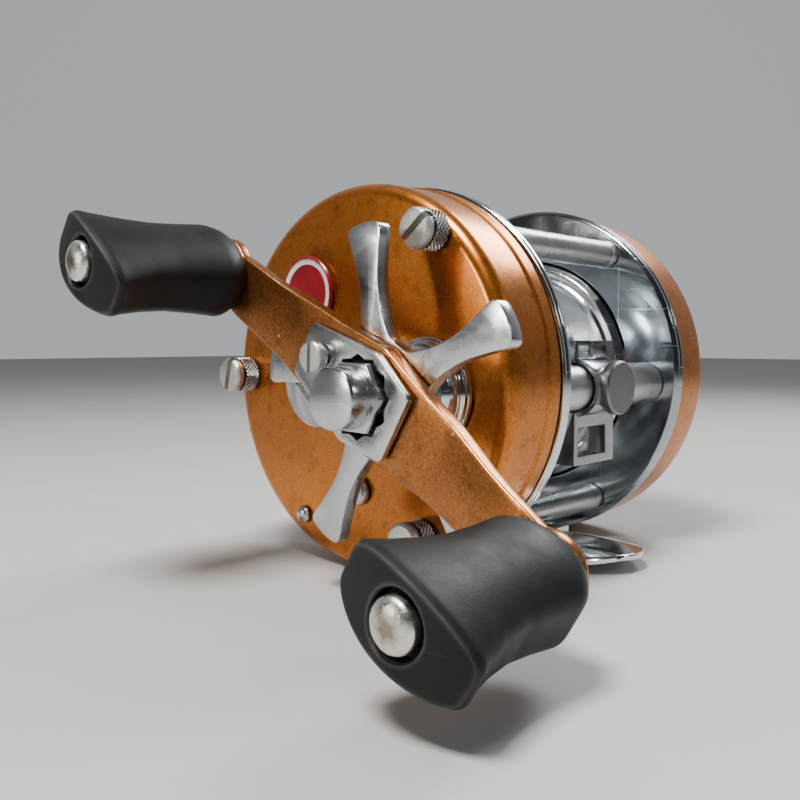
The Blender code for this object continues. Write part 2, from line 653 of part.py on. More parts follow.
def caps_and_collar():
    """Cast-tension cap on the spool axis and the ridged collar on the drive axis."""
    seat = RIGHT_FACE_X + GAP
    turned("tension_cap",
           [(seat, 3.4), (seat, CAP_RADIUS), (CAP_FRONT_X - 0.35, CAP_RADIUS),
            (CAP_FRONT_X, CAP_RADIUS - 0.35), (CAP_FRONT_X, 0), (30.0, 0), (30.0, 3.4)],
           SPOOL_AXIS, "satin_metal", 28)
    turned("drive_collar",
           [(seat, SHAFT_RADIUS + GAP), (seat, 6.9), (27.6, 6.9), (28.1, 6.3), (28.8, 6.2),
            (29.2, 5.3), (30.2, 5.0), (30.2, SHAFT_RADIUS + GAP)],
           DRIVE_AXIS, "chrome", 24)


def star_outline():
    """Five arms, narrow at the neck, wide at the tip, with large fillets between them."""
    points = []
    tip = STAR_TIP_RADIUS
    for number in range(5):
        middle = STAR_ANGLE + 72.0 * number
        for radius, degrees in ((6.6, -36.0), (6.9, -24.0), (8.2, -15.0), (10.5, -8.8),
                                (13.5, -6.6), (17.0, -7.3), (tip - 0.9, -8.0),
                                (tip - 0.1, -6.2), (tip + 0.1, 0.0), (tip - 0.1, 6.2),
                                (tip - 0.9, 8.0), (17.0, 7.3), (13.5, 6.6), (10.5, 8.8),
                                (8.2, 15.0), (6.9, 24.0)):
            points.append(polar((0, 0), radius, middle + degrees))
    return points


def star():
    """Star-shaped drag wheel with the sleeve that presses on the drag stack."""
    wheel = prism("star_drag", star_outline(), STAR_X, DRIVE_AXIS, "chrome")
    cut(wheel, [drum(DRIVE_AXIS, 3.6, 30.9, STAR_X[0] + 0.2, 20)], "UNION")
    cut(wheel, [drum(DRIVE_AXIS, SHAFT_RADIUS + GAP, 28, 38, 16)])


def arm_x(u):
    """The arm's back and front faces at distance u from the hub."""
    past = min(1.0, max(0.0, abs(u) - CRANK_START) / (CRANK_END - CRANK_START))
    eye_x = FRONT_EYE_X if u > 0 else REAR_EYE_X
    return [hub + (eye - hub) * past for hub, eye in zip(ARM_HUB_X, eye_x)]


def arm_half_width(u):
    """The arm's half width at distance u: a wide hub, a taper and round eyes."""
    reach = abs(u)
    if reach > ARM_WIDTHS[-1][0]:
        return math.sqrt(max(0.3, EYE_RADIUS ** 2 - (reach - HANDLE_RADIUS) ** 2))
    for (near, wide), (far, narrow) in zip(ARM_WIDTHS, ARM_WIDTHS[1:]):
        if reach <= far:
            return wide + (narrow - wide) * (reach - near) / (far - near)


def handle_frame(u, v):
    """A point given along (u) and across (v) the handle, as (y, z) from its axis."""
    angle = math.radians(HANDLE_ANGLE)
    return (u * math.cos(angle) - v * math.sin(angle), u * math.sin(angle) + v * math.cos(angle))


def handle_arm():
    """The cranked handle bar, drilled for the shaft, the lock screw and the knob pins."""
    half = [0.0, 8.0, CRANK_START, 15.0, 19.0, CRANK_END, 27.4, 28.5, HANDLE_RADIUS,
            31.1, 32.3, 33.3, 33.9, HANDLE_RADIUS + EYE_RADIUS]
    stations = [-u for u in reversed(half[1:])] + half
    bm = bmesh.new()
    loops = []
    for u in stations:
        back, front = arm_x(u)
        width = arm_half_width(u)
        corners = ((back, -width), (back, width), (front, width), (front, -width))
        loops.append([bm.verts.new((x, *handle_frame(u, v))) for x, v in corners])
    bm.faces.new(loops[0])
    bm.faces.new(loops[-1])
    for loop, following in zip(loops, loops[1:]):
        for i in range(4):
            j = (i + 1) % 4
            bm.faces.new((loop[i], loop[j], following[j], following[i]))
    arm = place(bm, "handle_arm", DRIVE_AXIS, "copper_paint")
    holes = [drum(DRIVE_AXIS, SHAFT_RADIUS + GAP, 34, 42, 16)]
    for u in (-HANDLE_RADIUS, HANDLE_RADIUS):
        holes.append(drum(on_handle(u, 0), 1.5, 34, 44, 12))
    holes.append(drum(on_handle(*LOCK_SCREW_PLACE), 1.1, 34, 44, 10))
    cut(arm, holes)


def on_handle(u, v):
    """A point of the handle as (y, z) in the reel's frame."""
    y, z = handle_frame(u, v)
    return (DRIVE_AXIS[0] + y, DRIVE_AXIS[1] + z)


def handle_fasteners():
    """Lock plate, its screw, and the capped handle nut."""
    corners = ((-10.2, -3.6), (-10.9, -2.9), (-10.9, 2.9), (-10.2, 3.6), (-0.5, 5.9),
               (0.6, 5.9), (6.2, 4.5), (6.75, 3.8), (6.75, -3.8), (6.2, -4.5), (0.6, -5.9),
               (-0.5, -5.9))
    outline = [handle_frame(u, v) for u, v in corners]
    plate = prism("lock_plate", outline, LOCK_X, DRIVE_AXIS, "satin_metal")
    screw_at = on_handle(*LOCK_SCREW_PLACE)
    cut(plate, [drum(DRIVE_AXIS, LOCK_WINDOW_RADIUS, 37, 41, 24), drum(screw_at, 1.1, 37, 41, 10)])
    head = LOCK_X[1] + GAP
    screw = turned("lock_screw",
                   [(ARM_HUB_X[0] + 0.2, 0), (ARM_HUB_X[0] + 0.2, 0.8), (head, 0.8),
                    (head, 1.5), (head + 0.6, 1.5), (head + 0.6, 1.9), (head + 1.5, 1.9),
                    (head + 1.7, 1.7), (head + 1.7, 0)],
                   screw_at, "satin_metal", 16)
    y, z = screw_at
    cut(screw, [block((head + 1.1, y - 0.3, z - 3), (head + 3, y + 0.3, z + 3))])
    hexagon = [polar((0, 0), NUT_RADIUS, 30 + HANDLE_ANGLE + 60 * i) for i in range(6)]
    nut = prism("handle_nut", hexagon, (LOCK_X[0], NUT_FLANGE_X), DRIVE_AXIS, "chrome")
    cut(nut, [drum(DRIVE_AXIS, NUT_BARREL_RADIUS, NUT_FLANGE_X - 0.2, NUT_END_X, 28)], "UNION")
    cut(nut, [drum(DRIVE_AXIS, SHAFT_RADIUS + GAP, 37, 42.2, 16)])


def knob_loop(bm, section, base, turn, segments):
    """One ring of a knob: a lens with cut-off ends, set back towards them at the end face."""
    t, half_length, end_half, middle_half, power = section
    loop = []
    for i in range(segments):
        angle = 2 * math.pi * i / segments
        c, s = math.cos(angle), math.sin(angle)
        scale = (abs(c) ** power + abs(s) ** power) ** (-1 / power)
        breadth = middle_half - (middle_half - end_half) * (c * scale) ** 2
        u = half_length * c * scale
        v = breadth * s * scale
        fall = KNOB_DOME * (u / KNOB_DOME_REACH) ** 2 * t ** 4
        x = base + t * KNOB_LENGTH - fall
        loop.append(bm.verts.new((x, u * math.cos(turn) - v * math.sin(turn),
                                  u * math.sin(turn) + v * math.cos(turn))))
    return loop


def knobs():
    """Two soft paddles that turn on shouldered pins with domed heads."""
    segments = 24
    for name, u, eye_x, turn in (
            ("front", HANDLE_RADIUS, FRONT_EYE_X, FRONT_KNOB_TURN),
            ("rear", -HANDLE_RADIUS, REAR_EYE_X, REAR_KNOB_TURN)):
        at = on_handle(u, 0)
        base = eye_x[1] + GAP
        end = base + KNOB_LENGTH
        bm = bmesh.new()
        loops = [knob_loop(bm, section, base, math.radians(turn), segments)
                 for section in KNOB_SECTIONS]
        bm.faces.new(loops[0])
        crown = bm.verts.new((end, 0.0, 0.0))
        for i in range(segments):
            bm.faces.new((loops[-1][i], loops[-1][(i + 1) % segments], crown))
        for loop, following in zip(loops, loops[1:]):
            for i in range(segments):
                j = (i + 1) % segments
                bm.faces.new((loop[i], loop[j], following[j], following[i]))
        grip = place(bm, "knob_" + name, at, "rubber")
        under = end - PIN_HEAD_SUNK
        top = end + PIN_HEAD_PROUD
        cut(grip, [drum(at, PIN_RADIUS + GAP, base - 1, top + 1, 12)])
        cut(grip, [drum(at, PIN_HEAD_RADIUS + 0.6, under - GAP, top + 1, 20)])
        turned("knob_pin_" + name,
               [(eye_x[0] - 0.6, 0), (eye_x[0] - 0.6, PIN_RADIUS), (under, PIN_RADIUS),
                (under, PIN_HEAD_RADIUS), (top - 0.9, PIN_HEAD_RADIUS), (top - 0.4, 2.0),
                (top - 0.1, 1.1), (top, 0)],
               at, "satin_metal", 16)


def main():
    """Clear the scene and build every sub-part."""
    for obj in list(bpy.data.objects):
        bpy.data.objects.remove(obj, do_unlink=True)
    frame_plates()
    pillars()
    foot()
    side_cups()
    cup_trim()
    bushes()
    bridge()
    drive_train()
    pinion_and_shaft()
    clutch()
    spool()
    brake()
    clicker()
    level_wind()
    thumb_screws()
    caps_and_collar()
    star()
    handle_arm()
    handle_fasteners()
    knobs()


main()
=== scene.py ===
"""Looks of the round baitcasting reel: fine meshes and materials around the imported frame.

Profiles are in millimetres: x along the spool's axis, r from the piece's own axis.
Every place comes from the frame's joints and boxes.
"""
import json
import math

import bmesh
import bpy
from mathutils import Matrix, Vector

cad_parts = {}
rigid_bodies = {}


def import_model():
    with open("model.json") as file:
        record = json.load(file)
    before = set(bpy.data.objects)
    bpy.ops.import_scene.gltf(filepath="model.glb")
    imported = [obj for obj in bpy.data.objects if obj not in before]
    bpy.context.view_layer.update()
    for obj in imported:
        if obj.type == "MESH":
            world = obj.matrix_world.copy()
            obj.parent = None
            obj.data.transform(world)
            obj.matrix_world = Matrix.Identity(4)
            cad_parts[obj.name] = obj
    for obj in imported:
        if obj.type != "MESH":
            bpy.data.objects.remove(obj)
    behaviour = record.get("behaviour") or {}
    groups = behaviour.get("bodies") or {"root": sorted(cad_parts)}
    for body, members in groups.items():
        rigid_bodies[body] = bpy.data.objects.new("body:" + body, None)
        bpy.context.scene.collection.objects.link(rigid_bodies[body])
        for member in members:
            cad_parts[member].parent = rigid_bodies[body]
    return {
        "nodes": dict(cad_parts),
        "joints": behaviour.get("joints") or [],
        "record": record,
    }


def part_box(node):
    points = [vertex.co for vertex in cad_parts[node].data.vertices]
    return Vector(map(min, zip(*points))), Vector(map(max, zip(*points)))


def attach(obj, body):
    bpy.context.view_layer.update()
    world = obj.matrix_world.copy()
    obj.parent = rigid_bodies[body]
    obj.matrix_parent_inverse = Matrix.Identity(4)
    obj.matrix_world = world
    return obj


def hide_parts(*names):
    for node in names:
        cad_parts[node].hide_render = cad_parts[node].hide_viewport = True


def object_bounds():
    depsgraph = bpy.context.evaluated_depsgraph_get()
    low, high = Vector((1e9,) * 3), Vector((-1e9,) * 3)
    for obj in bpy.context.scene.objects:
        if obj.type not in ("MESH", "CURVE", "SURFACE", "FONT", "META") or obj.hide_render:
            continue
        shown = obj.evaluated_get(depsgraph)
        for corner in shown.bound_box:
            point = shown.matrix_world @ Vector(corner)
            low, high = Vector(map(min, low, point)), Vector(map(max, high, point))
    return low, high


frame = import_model()
cad_low, cad_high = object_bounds()

MM = 0.001
TAU = 2 * math.pi
SMOOTH_ANGLE = math.radians(32)
ROUND = 160                     # segments of the large turned pieces
SMALL_ROUND = 64
SHAFT_BORE = 1.9                # the bore round the drive shaft
PLATE_OPENING = 18.2
CUP_SHOULDER = 1.8              # radius of the cups' rounded edge
CUP_WALL = 0.9


# ---------------------------------------------------------------- places from the frame

def axis_of(joint_name):
    """A joint's axis as (y, z) in millimetres."""
    for joint in frame["joints"]:
        if joint["name"] == joint_name:
            return (joint["pos_m"][1] / MM, joint["pos_m"][2] / MM)
    raise KeyError(joint_name)


def extent(node, corner, axis):
    """One coordinate of a CAD node's box in millimetres: corner 0 is low, 1 is high."""
    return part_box(node)[corner][axis] / MM


def span(node):
    """A CAD node's lowest and highest x in millimetres."""
    return extent(node, 0, 0), extent(node, 1, 0)


def middle(node):
    """The middle of a CAD node's box as (y, z) in millimetres."""
    low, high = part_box(node)
    return ((low.y + high.y) / 2 / MM, (low.z + high.z) / 2 / MM)


SPOOL = axis_of("spool_spin")
DRIVE = axis_of("handle_crank")
WORM = axis_of("worm_spin")
FRONT_PIN = axis_of("front_knob_spin")
REAR_PIN = axis_of("rear_knob_spin")
HANDLE_RADIUS = math.dist(DRIVE, FRONT_PIN)
HANDLE_ANGLE = math.degrees(math.atan2(FRONT_PIN[1] - DRIVE[1], FRONT_PIN[0] - DRIVE[0]))
FLOOR_Z = cad_low[2] / MM


def polar(centre, radius, degrees):
    """A (y, z) point at a radius and an angle from a centre."""
    angle = math.radians(degrees)
    return (centre[0] + radius * math.cos(angle), centre[1] + radius * math.sin(angle))


def spun(u, v, degrees):
    """The (y, z) point (u, v) turned about the origin."""
    angle = math.radians(degrees)
    return (u * math.cos(angle) - v * math.sin(angle), u * math.sin(angle) + v * math.cos(angle))


def along_handle(u, v):
    """A point u along and v across the handle, as (y, z) from the drive axis."""
    return spun(u, v, HANDLE_ANGLE)


# ---------------------------------------------------------------- materials

def shade(colour, share):
    """The colour times a share."""
    return tuple(c * share for c in colour)


class Shader:
    """A small builder of node trees around one Principled BSDF."""

    def __init__(self, name, metallic=0.0, roughness=0.5, **fixed):
        self.material = bpy.data.materials.new(name)
        self.material.use_nodes = True
        self.nodes = self.material.node_tree.nodes
        self.links = self.material.node_tree.links
        self.shader = self.nodes["Principled BSDF"]
        self.shader.inputs["Metallic"].default_value = metallic
        self.shader.inputs["Roughness"].default_value = roughness
        for socket, value in fixed.items():
            self.shader.inputs[socket.replace("_", " ")].default_value = value
        self.place = self.nodes.new("ShaderNodeTexCoord").outputs["Object"]
        self.height = None

    def join(self, source, target):
        self.links.new(source, target)

    def math(self, operation, *values, clamp=False):
        node = self.nodes.new("ShaderNodeMath")
        node.operation = operation
        node.use_clamp = clamp
        for socket, value in zip(node.inputs, values):
            if isinstance(value, (int, float)):
                socket.default_value = value
            else:
                self.join(value, socket)
        return node.outputs[0]

    def stretched(self, scale, turn=(0, 0, 0)):
        """Object coordinates scaled per axis (1 unit is 1 mm at scale 1000)."""
        node = self.nodes.new("ShaderNodeMapping")
        node.inputs["Scale"].default_value = scale
        node.inputs["Rotation"].default_value = turn
        self.join(self.place, node.inputs["Vector"])
        return node.outputs[0]

    def noise(self, scale, detail=3.0, rough=0.5, vector=None, distortion=0.0):
        node = self.nodes.new("ShaderNodeTexNoise")
        node.inputs["Scale"].default_value = scale
        node.inputs["Detail"].default_value = detail
        node.inputs["Roughness"].default_value = rough
        node.inputs["Distortion"].default_value = distortion
        self.join(vector or self.place, node.inputs["Vector"])
        return node.outputs["Fac"]

    def cells(self, scale):
        node = self.nodes.new("ShaderNodeTexVoronoi")
        node.inputs["Scale"].default_value = scale
        self.join(self.place, node.inputs["Vector"])
        return node.outputs["Distance"]

    def radius(self):
        """Distance from the object's own X axis, in metres."""
        node = self.nodes.new("ShaderNodeSeparateXYZ")
        self.join(self.place, node.inputs[0])
        squares = [self.math("POWER", self.math("ABSOLUTE", node.outputs[i]), 2) for i in (1, 2)]
        return self.math("SQRT", self.math("ADD", *squares))

    def rings(self, scale):
        """Fine concentric lathe marks."""
        node = self.nodes.new("ShaderNodeTexNoise")
        node.noise_dimensions = "1D"
        node.inputs["Scale"].default_value = scale
        node.inputs["Detail"].default_value = 4.0
        self.join(self.radius(), node.inputs["W"])
        return node.outputs["Fac"]

    def ramp(self, value, *stops):
        """A colour ramp: stops are (position, colour)."""
        node = self.nodes.new("ShaderNodeValToRGB")
        elements = node.color_ramp.elements
        while len(elements) < len(stops):
            elements.new(0.5)
        for element, (position, colour) in zip(elements, stops):
            element.position = position
            element.color = (*colour, 1.0) if len(colour) == 3 else colour
        self.join(value, node.inputs[0])
        return node.outputs[0]

    def times(self, first, second, clamp=False):
        """The product of two values."""
        return self.math("MULTIPLY", first, second, clamp=clamp)

    def range(self, value, low, high, to_low=0.0, to_high=1.0):
        """Map low..high to to_low..to_high, held at its ends."""
        node = self.nodes.new("ShaderNodeMapRange")
        for socket, number in zip(list(node.inputs)[1:5], (low, high, to_low, to_high)):
            socket.default_value = number
        self.join(value, node.inputs[0])
        return node.outputs[0]

    def blend(self, factor, first, second, mode="MIX"):
        node = self.nodes.new("ShaderNodeMix")
        node.data_type = "RGBA"
        node.blend_type = mode
        for socket, value in ((node.inputs[0], factor), (node.inputs[6], first),
                              (node.inputs[7], second)):
            if isinstance(value, bpy.types.NodeSocket):
                self.join(value, socket)
            elif isinstance(value, (int, float)):
                socket.default_value = value
            else:
                socket.default_value = (*value, 1.0)
        return node.outputs[2]

    def edges(self, width):
        """1 along edges and 0 elsewhere, within that width in metres."""
        bevel = self.nodes.new("ShaderNodeBevel")
        bevel.samples = 4
        bevel.inputs["Radius"].default_value = width
        facing = self.nodes.new("ShaderNodeNewGeometry").outputs["Normal"]
        node = self.nodes.new("ShaderNodeVectorMath")
        node.operation = "DOT_PRODUCT"
        self.join(bevel.outputs[0], node.inputs[0])
        self.join(facing, node.inputs[1])
        return self.range(node.outputs["Value"], 0.90, 0.997, 1.0, 0.0)

    def bump(self, height, distance, strength=1.0):
        """Add a height (0 to 1) as relief of that depth in metres."""
        node = self.nodes.new("ShaderNodeBump")
        node.inputs["Strength"].default_value = strength
        node.inputs["Distance"].default_value = distance
        self.join(height, node.inputs["Height"])
        if self.height is not None:
            self.join(self.height, node.inputs["Normal"])
        self.height = node.outputs[0]
        self.join(self.height, self.shader.inputs["Normal"])

    def set(self, socket, value):
        self.join(value, self.shader.inputs[socket])


def scratches(s, scale=700.0, threshold=0.66):
    """Sparse, fine, crossing scratches as a 0 to 1 mask."""
    first = s.noise(scale, 2.0, 0.5, s.stretched((0.6, 0.05, 3.0), (0.4, 0.3, 0.5)))
    second = s.noise(scale, 2.0, 0.5, s.stretched((0.6, 3.4, 0.06), (0.2, 0.9, 0.3)))
    lines = s.math("MAXIMUM", first, second)
    return s.range(lines, threshold, threshold + 0.05)


def metal(name, colour, rough, finish="plain", wear=0.5):
    """Chrome, nickel, steel or brass with smudges, scratches and a turned or brushed finish."""
    s = Shader(name, metallic=1.0, roughness=rough)
    smudge = s.noise(170.0, 6.0, 0.62, distortion=0.5)
    speck = s.times(s.range(s.noise(1500.0, 3.0, 0.6), 0.62, 0.68), s.range(smudge, 0.45, 0.6))
    fine = scratches(s)
    tone = s.blend(s.range(smudge, 0.35, 0.72, 0.0, 0.9 * wear), colour, shade(colour, 0.62))
    s.set("Base Color", s.blend(s.times(speck, 0.25 * wear), tone, shade(colour, 0.25)))
    low, high = rough * 0.75, min(1.0, rough * 1.6 + 0.04)
    s.set("Roughness", s.math("ADD", s.range(smudge, 0.3, 0.7, low, high),
                              s.times(fine, 0.25 * wear), clamp=True))
    if finish == "turned":
        s.bump(s.rings(5200.0), 0.00001)
    elif finish == "brushed":
        grain = s.noise(5200.0, 3.0, 0.6, s.stretched((1.0, 0.05, 1.0), (0.5, 0, 0)))
        s.bump(grain, 0.000006)
    elif finish == "cast":
        s.bump(s.noise(2600.0, 4.0, 0.6), 0.00004)
    s.bump(fine, 0.000006, 0.6 * wear)
    return s.material


def lacquer(name, colour, deep, chips=0.5, hub_shade_radius=0.0):
    """Metallic lacquer with flakes and chips; the last argument is a radius in metres about the
    piece's own X axis, inside which the lacquer is painted near black as shade.
    """
    s = Shader(name, metallic=0.88, roughness=0.3, Coat_Weight=0.12, Coat_Roughness=0.1)
    cloud = s.noise(75.0, 5.0, 0.6)
    grain = s.noise(3600.0, 3.0, 0.7)
    tone = s.blend(s.range(cloud, 0.3, 0.72), colour, deep)
    flaked = s.blend(s.range(grain, 0.42, 0.7, 0.0, 0.3), tone, (0.95, 0.5, 0.16))
    dull = s.blend(s.range(s.noise(420.0, 6.0, 0.7), 0.52, 0.68, 0.0, 0.5), flaked,
                   shade(deep, 0.45))
    worn = s.times(s.edges(0.00035), s.range(s.noise(900.0, 5.0, 0.7), 0.42, 0.54))
    spots = s.times(s.range(s.cells(650.0), 0.16, 0.09),
                    s.range(s.noise(210.0, 3.0, 0.6), 0.56, 0.62))
    bare = s.times(s.math("MAXIMUM", worn, spots), chips, clamp=True)
    surface = s.blend(bare, dull, (0.85, 0.58, 0.34))
    # painted shade: near black within that radius of the piece's own axis, where the lock plate's
    # window shades the arm
    if hub_shade_radius:
        inside = s.range(s.radius(), hub_shade_radius - 0.0002, hub_shade_radius, 1.0, 0.0)
        surface = s.blend(inside, surface, (0.012, 0.010, 0.008))
    s.set("Base Color", surface)
    fine = scratches(s, 620.0, 0.70)
    s.set("Roughness", s.math("ADD", s.range(cloud, 0.3, 0.7, 0.22, 0.34),
                              s.times(fine, 0.07), clamp=True))
    s.bump(s.noise(1500.0, 5.0, 0.6), 0.00001, 0.6)
    return s.material


def rubber(name):
    """Black soft-touch rubber, greyed on the edges where hands rub it."""
    s = Shader(name, metallic=0.0, roughness=0.5, Specular_IOR_Level=0.22)
    cloud = s.noise(190.0, 6.0, 0.65, distortion=0.3)
    rub = s.times(s.edges(0.0007), s.range(cloud, 0.36, 0.56, 0.35, 1.0))
    tone = s.blend(s.range(cloud, 0.35, 0.75), (0.005, 0.0055, 0.006), (0.012, 0.013, 0.013))
    fine = scratches(s, 900.0, 0.70)
    worn = s.math("MAXIMUM", s.times(rub, 0.8), s.times(fine, 0.08))
    s.set("Base Color", s.blend(worn, tone, (0.10, 0.105, 0.10)))
    s.set("Roughness", s.range(cloud, 0.3, 0.75, 0.42, 0.60))
    s.bump(s.noise(2600.0, 4.0, 0.6), 0.00003, 0.6)
    s.bump(fine, 0.000012, 0.4)
    return s.material


def knurl_metal(name, colour, groove_dark):
    """Nickel, near black down in the knurl's grooves, by the distance from the screw's axis."""
    s = Shader(name, metallic=1.0, roughness=0.28)
    deep = s.range(s.radius(), 0.00232, 0.00250, 1.0, 0.0)
    s.set("Base Color", s.blend(deep, colour, groove_dark))
    s.set("Roughness", s.range(s.noise(900.0, 4.0, 0.6), 0.3, 0.7, 0.2, 0.4))
    return s.material


def pin_metal(name, colour, stain):
    """Pin head: worn pewter with a brown stain in its middle."""
    s = Shader(name, metallic=1.0, roughness=0.3)
    cloud = s.noise(900.0, 5.0, 0.65)
    reach = s.math("ADD", s.radius(), s.range(cloud, 0.3, 0.7, -0.0005, 0.0005))
    s.set("Base Color", s.blend(s.range(reach, 0.0006, 0.0017, 0.85, 0.0), colour, stain))
    s.set("Roughness", s.range(cloud, 0.3, 0.7, 0.22, 0.45))
    s.bump(s.noise(2400.0, 4.0, 0.6), 0.00005)
    return s.material


def enamel(name, field, rim, inner, outer):
    """Badge: a glossy field inside a pale ring, whose radii are in metres."""
    s = Shader(name, metallic=0.0, roughness=0.22, Coat_Weight=0.6, Coat_Roughness=0.08)
    radius = s.radius()
    ring = s.times(s.range(radius, inner, inner + 0.00008),
                   s.range(radius, outer, outer + 0.00008, 1.0, 0.0))
    cloud = s.noise(300.0, 4.0, 0.6)
    tone = s.blend(s.range(cloud, 0.35, 0.7), field, shade(field, 0.6))
    s.set("Base Color", s.blend(ring, tone, rim))
    s.set("Roughness", s.range(cloud, 0.3, 0.7, 0.16, 0.32))
    s.bump(s.noise(900.0, 3.0, 0.5), 0.00001)
    return s.material


def plain(name, colour, rough):
    """Moulded plastic or pressed fibre with a fine grain."""
    s = Shader(name, roughness=rough)
    cloud = s.noise(900.0, 4.0, 0.6)
    s.set("Base Color", s.blend(s.range(cloud, 0.3, 0.7), colour, shade(colour, 0.8)))
    s.set("Roughness", s.range(cloud, 0.3, 0.7, rough * 0.85, min(1.0, rough * 1.15)))
    s.bump(cloud, 0.00002)
    return s.material


FINISH = {
    "bronze_paint": lacquer("bronze_lacquer", (0.60, 0.18, 0.022), (0.38, 0.098, 0.011), 0.15),
    # the copper arm carries painted shade within 5.1 mm of the drive axis, seen through the lock
    # plate's window
    "copper_paint": lacquer("copper_lacquer", (0.42, 0.135, 0.03), (0.22, 0.062, 0.014), 0.9,
                            5.1 * MM),
    "cup_lining": metal("cup_lining", (0.30, 0.29, 0.28), 0.4),
    "chrome": metal("chrome_plate", (0.80, 0.82, 0.84), 0.08),
    # the left plate: the same chrome as the right, painted darker as shade, with heavier smudges
    "worn_shaded_chrome": metal("mirror_plate", (0.50, 0.54, 0.57), 0.09, wear=0.9),
    "satin_metal": metal("satin_nickel", (0.58, 0.59, 0.59), 0.26, "turned"),
    "brushed": metal("brushed_chrome", (0.60, 0.63, 0.64), 0.19, "brushed", 0.2),
    "pewter": metal("cast_pewter", (0.66, 0.66, 0.63), 0.34, "cast", 0.8),
    "pin_head": pin_metal("pin_head", (0.74, 0.73, 0.68), (0.20, 0.15, 0.09)),
    "guide_chrome": metal("guide_chrome", (0.36, 0.37, 0.38), 0.14),
    "dark_boss": metal("dark_boss", (0.27, 0.27, 0.26), 0.30, "cast", 0.5),
    "pit": plain("cap_pit", (0.02, 0.02, 0.02), 0.6),
    "knurl": knurl_metal("knurl_metal", (0.60, 0.61, 0.60), (0.03, 0.03, 0.028)),
    "spool_alloy": metal("spool_alloy", (0.80, 0.82, 0.84), 0.14, "turned"),
    "brass": metal("brass", (0.78, 0.57, 0.25), 0.24, "turned"),
    "steel": metal("steel", (0.52, 0.53, 0.54), 0.30, "turned"),
    "rubber": rubber("grip_rubber"),
    "fibre": plain("pressed_fibre", (0.10, 0.07, 0.045), 0.8),
    "white_plastic": plain("cog_plastic", (0.80, 0.79, 0.72), 0.45),
    "badge_enamel": enamel("badge_enamel", (0.33, 0.008, 0.018), (0.80, 0.78, 0.74),
                           4.0 * MM, 4.75 * MM),
}


# ---------------------------------------------------------------- mesh builders

def solid(bm, name, place_yz, finish, body, node=None, slot=None, bevel=0.0):
    """A bmesh in millimetres becomes a finished piece that rides on a body."""
    bmesh.ops.recalc_face_normals(bm, faces=bm.faces)
    bmesh.ops.scale(bm, vec=(MM, MM, MM), verts=bm.verts)
    mesh = bpy.data.meshes.new(name)
    bm.to_mesh(mesh)
    bm.free()
    obj = bpy.data.objects.new(name, mesh)
    bpy.context.scene.collection.objects.link(obj)
    obj.location = (0.0, place_yz[0] * MM, place_yz[1] * MM)
    if bevel:
        edge = obj.modifiers.new("soft edges", "BEVEL")
        edge.width = bevel * MM
        edge.segments = 3
        edge.limit_method = "ANGLE"
        edge.angle_limit = math.radians(30)
    if body:
        mesh.materials.append(FINISH[finish])
        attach(obj, body)
    if node:
        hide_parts(node)
    obj["smooth"] = True
    return obj


def add_turned(bm, profile, segments=SMALL_ROUND, centre=(0.0, 0.0)):
    """Add the closed (x, r) profile turned about the X axis; a point with r 0 is a pole."""
    rings = []
    for x, radius in profile:
        if radius == 0:
            rings.append([bm.verts.new((x, *centre))])
            continue
        points = (polar(centre, radius, 360.0 * i / segments) for i in range(segments))
        rings.append([bm.verts.new((x, y, z)) for y, z in points])
    for ring, following in zip(rings, rings[1:] + rings[:1]):
        for i in range(segments):
            quad = [ring[i % len(ring)], ring[(i + 1) % len(ring)],
                    following[(i + 1) % len(following)], following[i % len(following)]]
            corners = list(dict.fromkeys(quad))
            if len(corners) > 2:
                bm.faces.new(corners)


def skin(bm, rings):
    """Join rings of equal length into a skin and close its two ends."""
    for ring, following in zip(rings, rings[1:]):
        for i in range(len(ring)):
            j = (i + 1) % len(ring)
            bm.faces.new((ring[i], ring[j], following[j], following[i]))
    bm.faces.new(rings[0])
    bm.faces.new(rings[-1])


def add_prism(bm, outline, x0, x1):
    """Add the (y, z) outline extruded along X."""
    skin(bm, [[bm.verts.new((x, y, z)) for y, z in outline] for x in (x0, x1)])


def turned(name, profile, axis, finish, body, node=None, segments=ROUND, **extra):
    """A solid of revolution about the line through (y, z) along X."""
    bm = bmesh.new()
    add_turned(bm, profile, segments)
    return solid(bm, name, axis, finish, body, node, **extra)


def rounded(points, radius=0.3, steps=4):
    """Round the corners of a closed (x, r) profile, away from the axis."""
    out = []
    count = len(points)
    for i, point in enumerate(points):
        here = Vector(point)
        before = Vector(points[i - 1]) - here
        after = Vector(points[(i + 1) % count]) - here
        reach = min(radius, before.length * 0.45, after.length * 0.45)
        turn = before.angle(after) if before.length and after.length else math.pi
        if point[1] == 0 or turn > math.radians(165):
            out.append(tuple(point))
            continue
        start = here + before.normalized() * reach
        end = here + after.normalized() * reach
        for k in range(steps + 1):
            t = k / steps
            out.append(tuple(start * (1 - t) ** 2 + here * 2 * t * (1 - t) + end * t ** 2))
    return out


def dome(start, height, radius, steps=12):
    """(x, r) points of a domed head, up to its pole."""
    angles = (math.pi / 2 * i / steps for i in range(steps))
    return [(start + height * math.sin(a), radius * math.cos(a)) for a in angles]


def prism(name, outline, x_range, axis, finish, body, node=None, **extra):
    """A flat plate: an outline about the axis, extruded along X."""
    bm = bmesh.new()
    add_prism(bm, outline, *x_range)
    return solid(bm, name, axis, finish, body, node, **extra)


def add_block(bm, low, high):
    """Add an axis-aligned box."""
    made = bmesh.ops.create_cube(bm, size=1.0)["verts"]
    bmesh.ops.scale(bm, vec=[b - a for a, b in zip(low, high)], verts=made)
    bmesh.ops.translate(bm, vec=[(a + b) / 2 for a, b in zip(low, high)], verts=made)


def combine(obj, bm, operation="DIFFERENCE"):
    """Cut or join a bmesh, in millimetres of the reel's frame, and keep the result."""
    helper = solid(bm, obj.name + "_helper", (0.0, 0.0), None, None)
    index = len(obj.modifiers)
    modifier = obj.modifiers.new("shape", "BOOLEAN")
    modifier.operation = operation
    modifier.object = helper
    if index:
        obj.modifiers.move(index, 0)
    settle(obj, only_first=True)
    bpy.data.objects.remove(helper, do_unlink=True)
    return obj


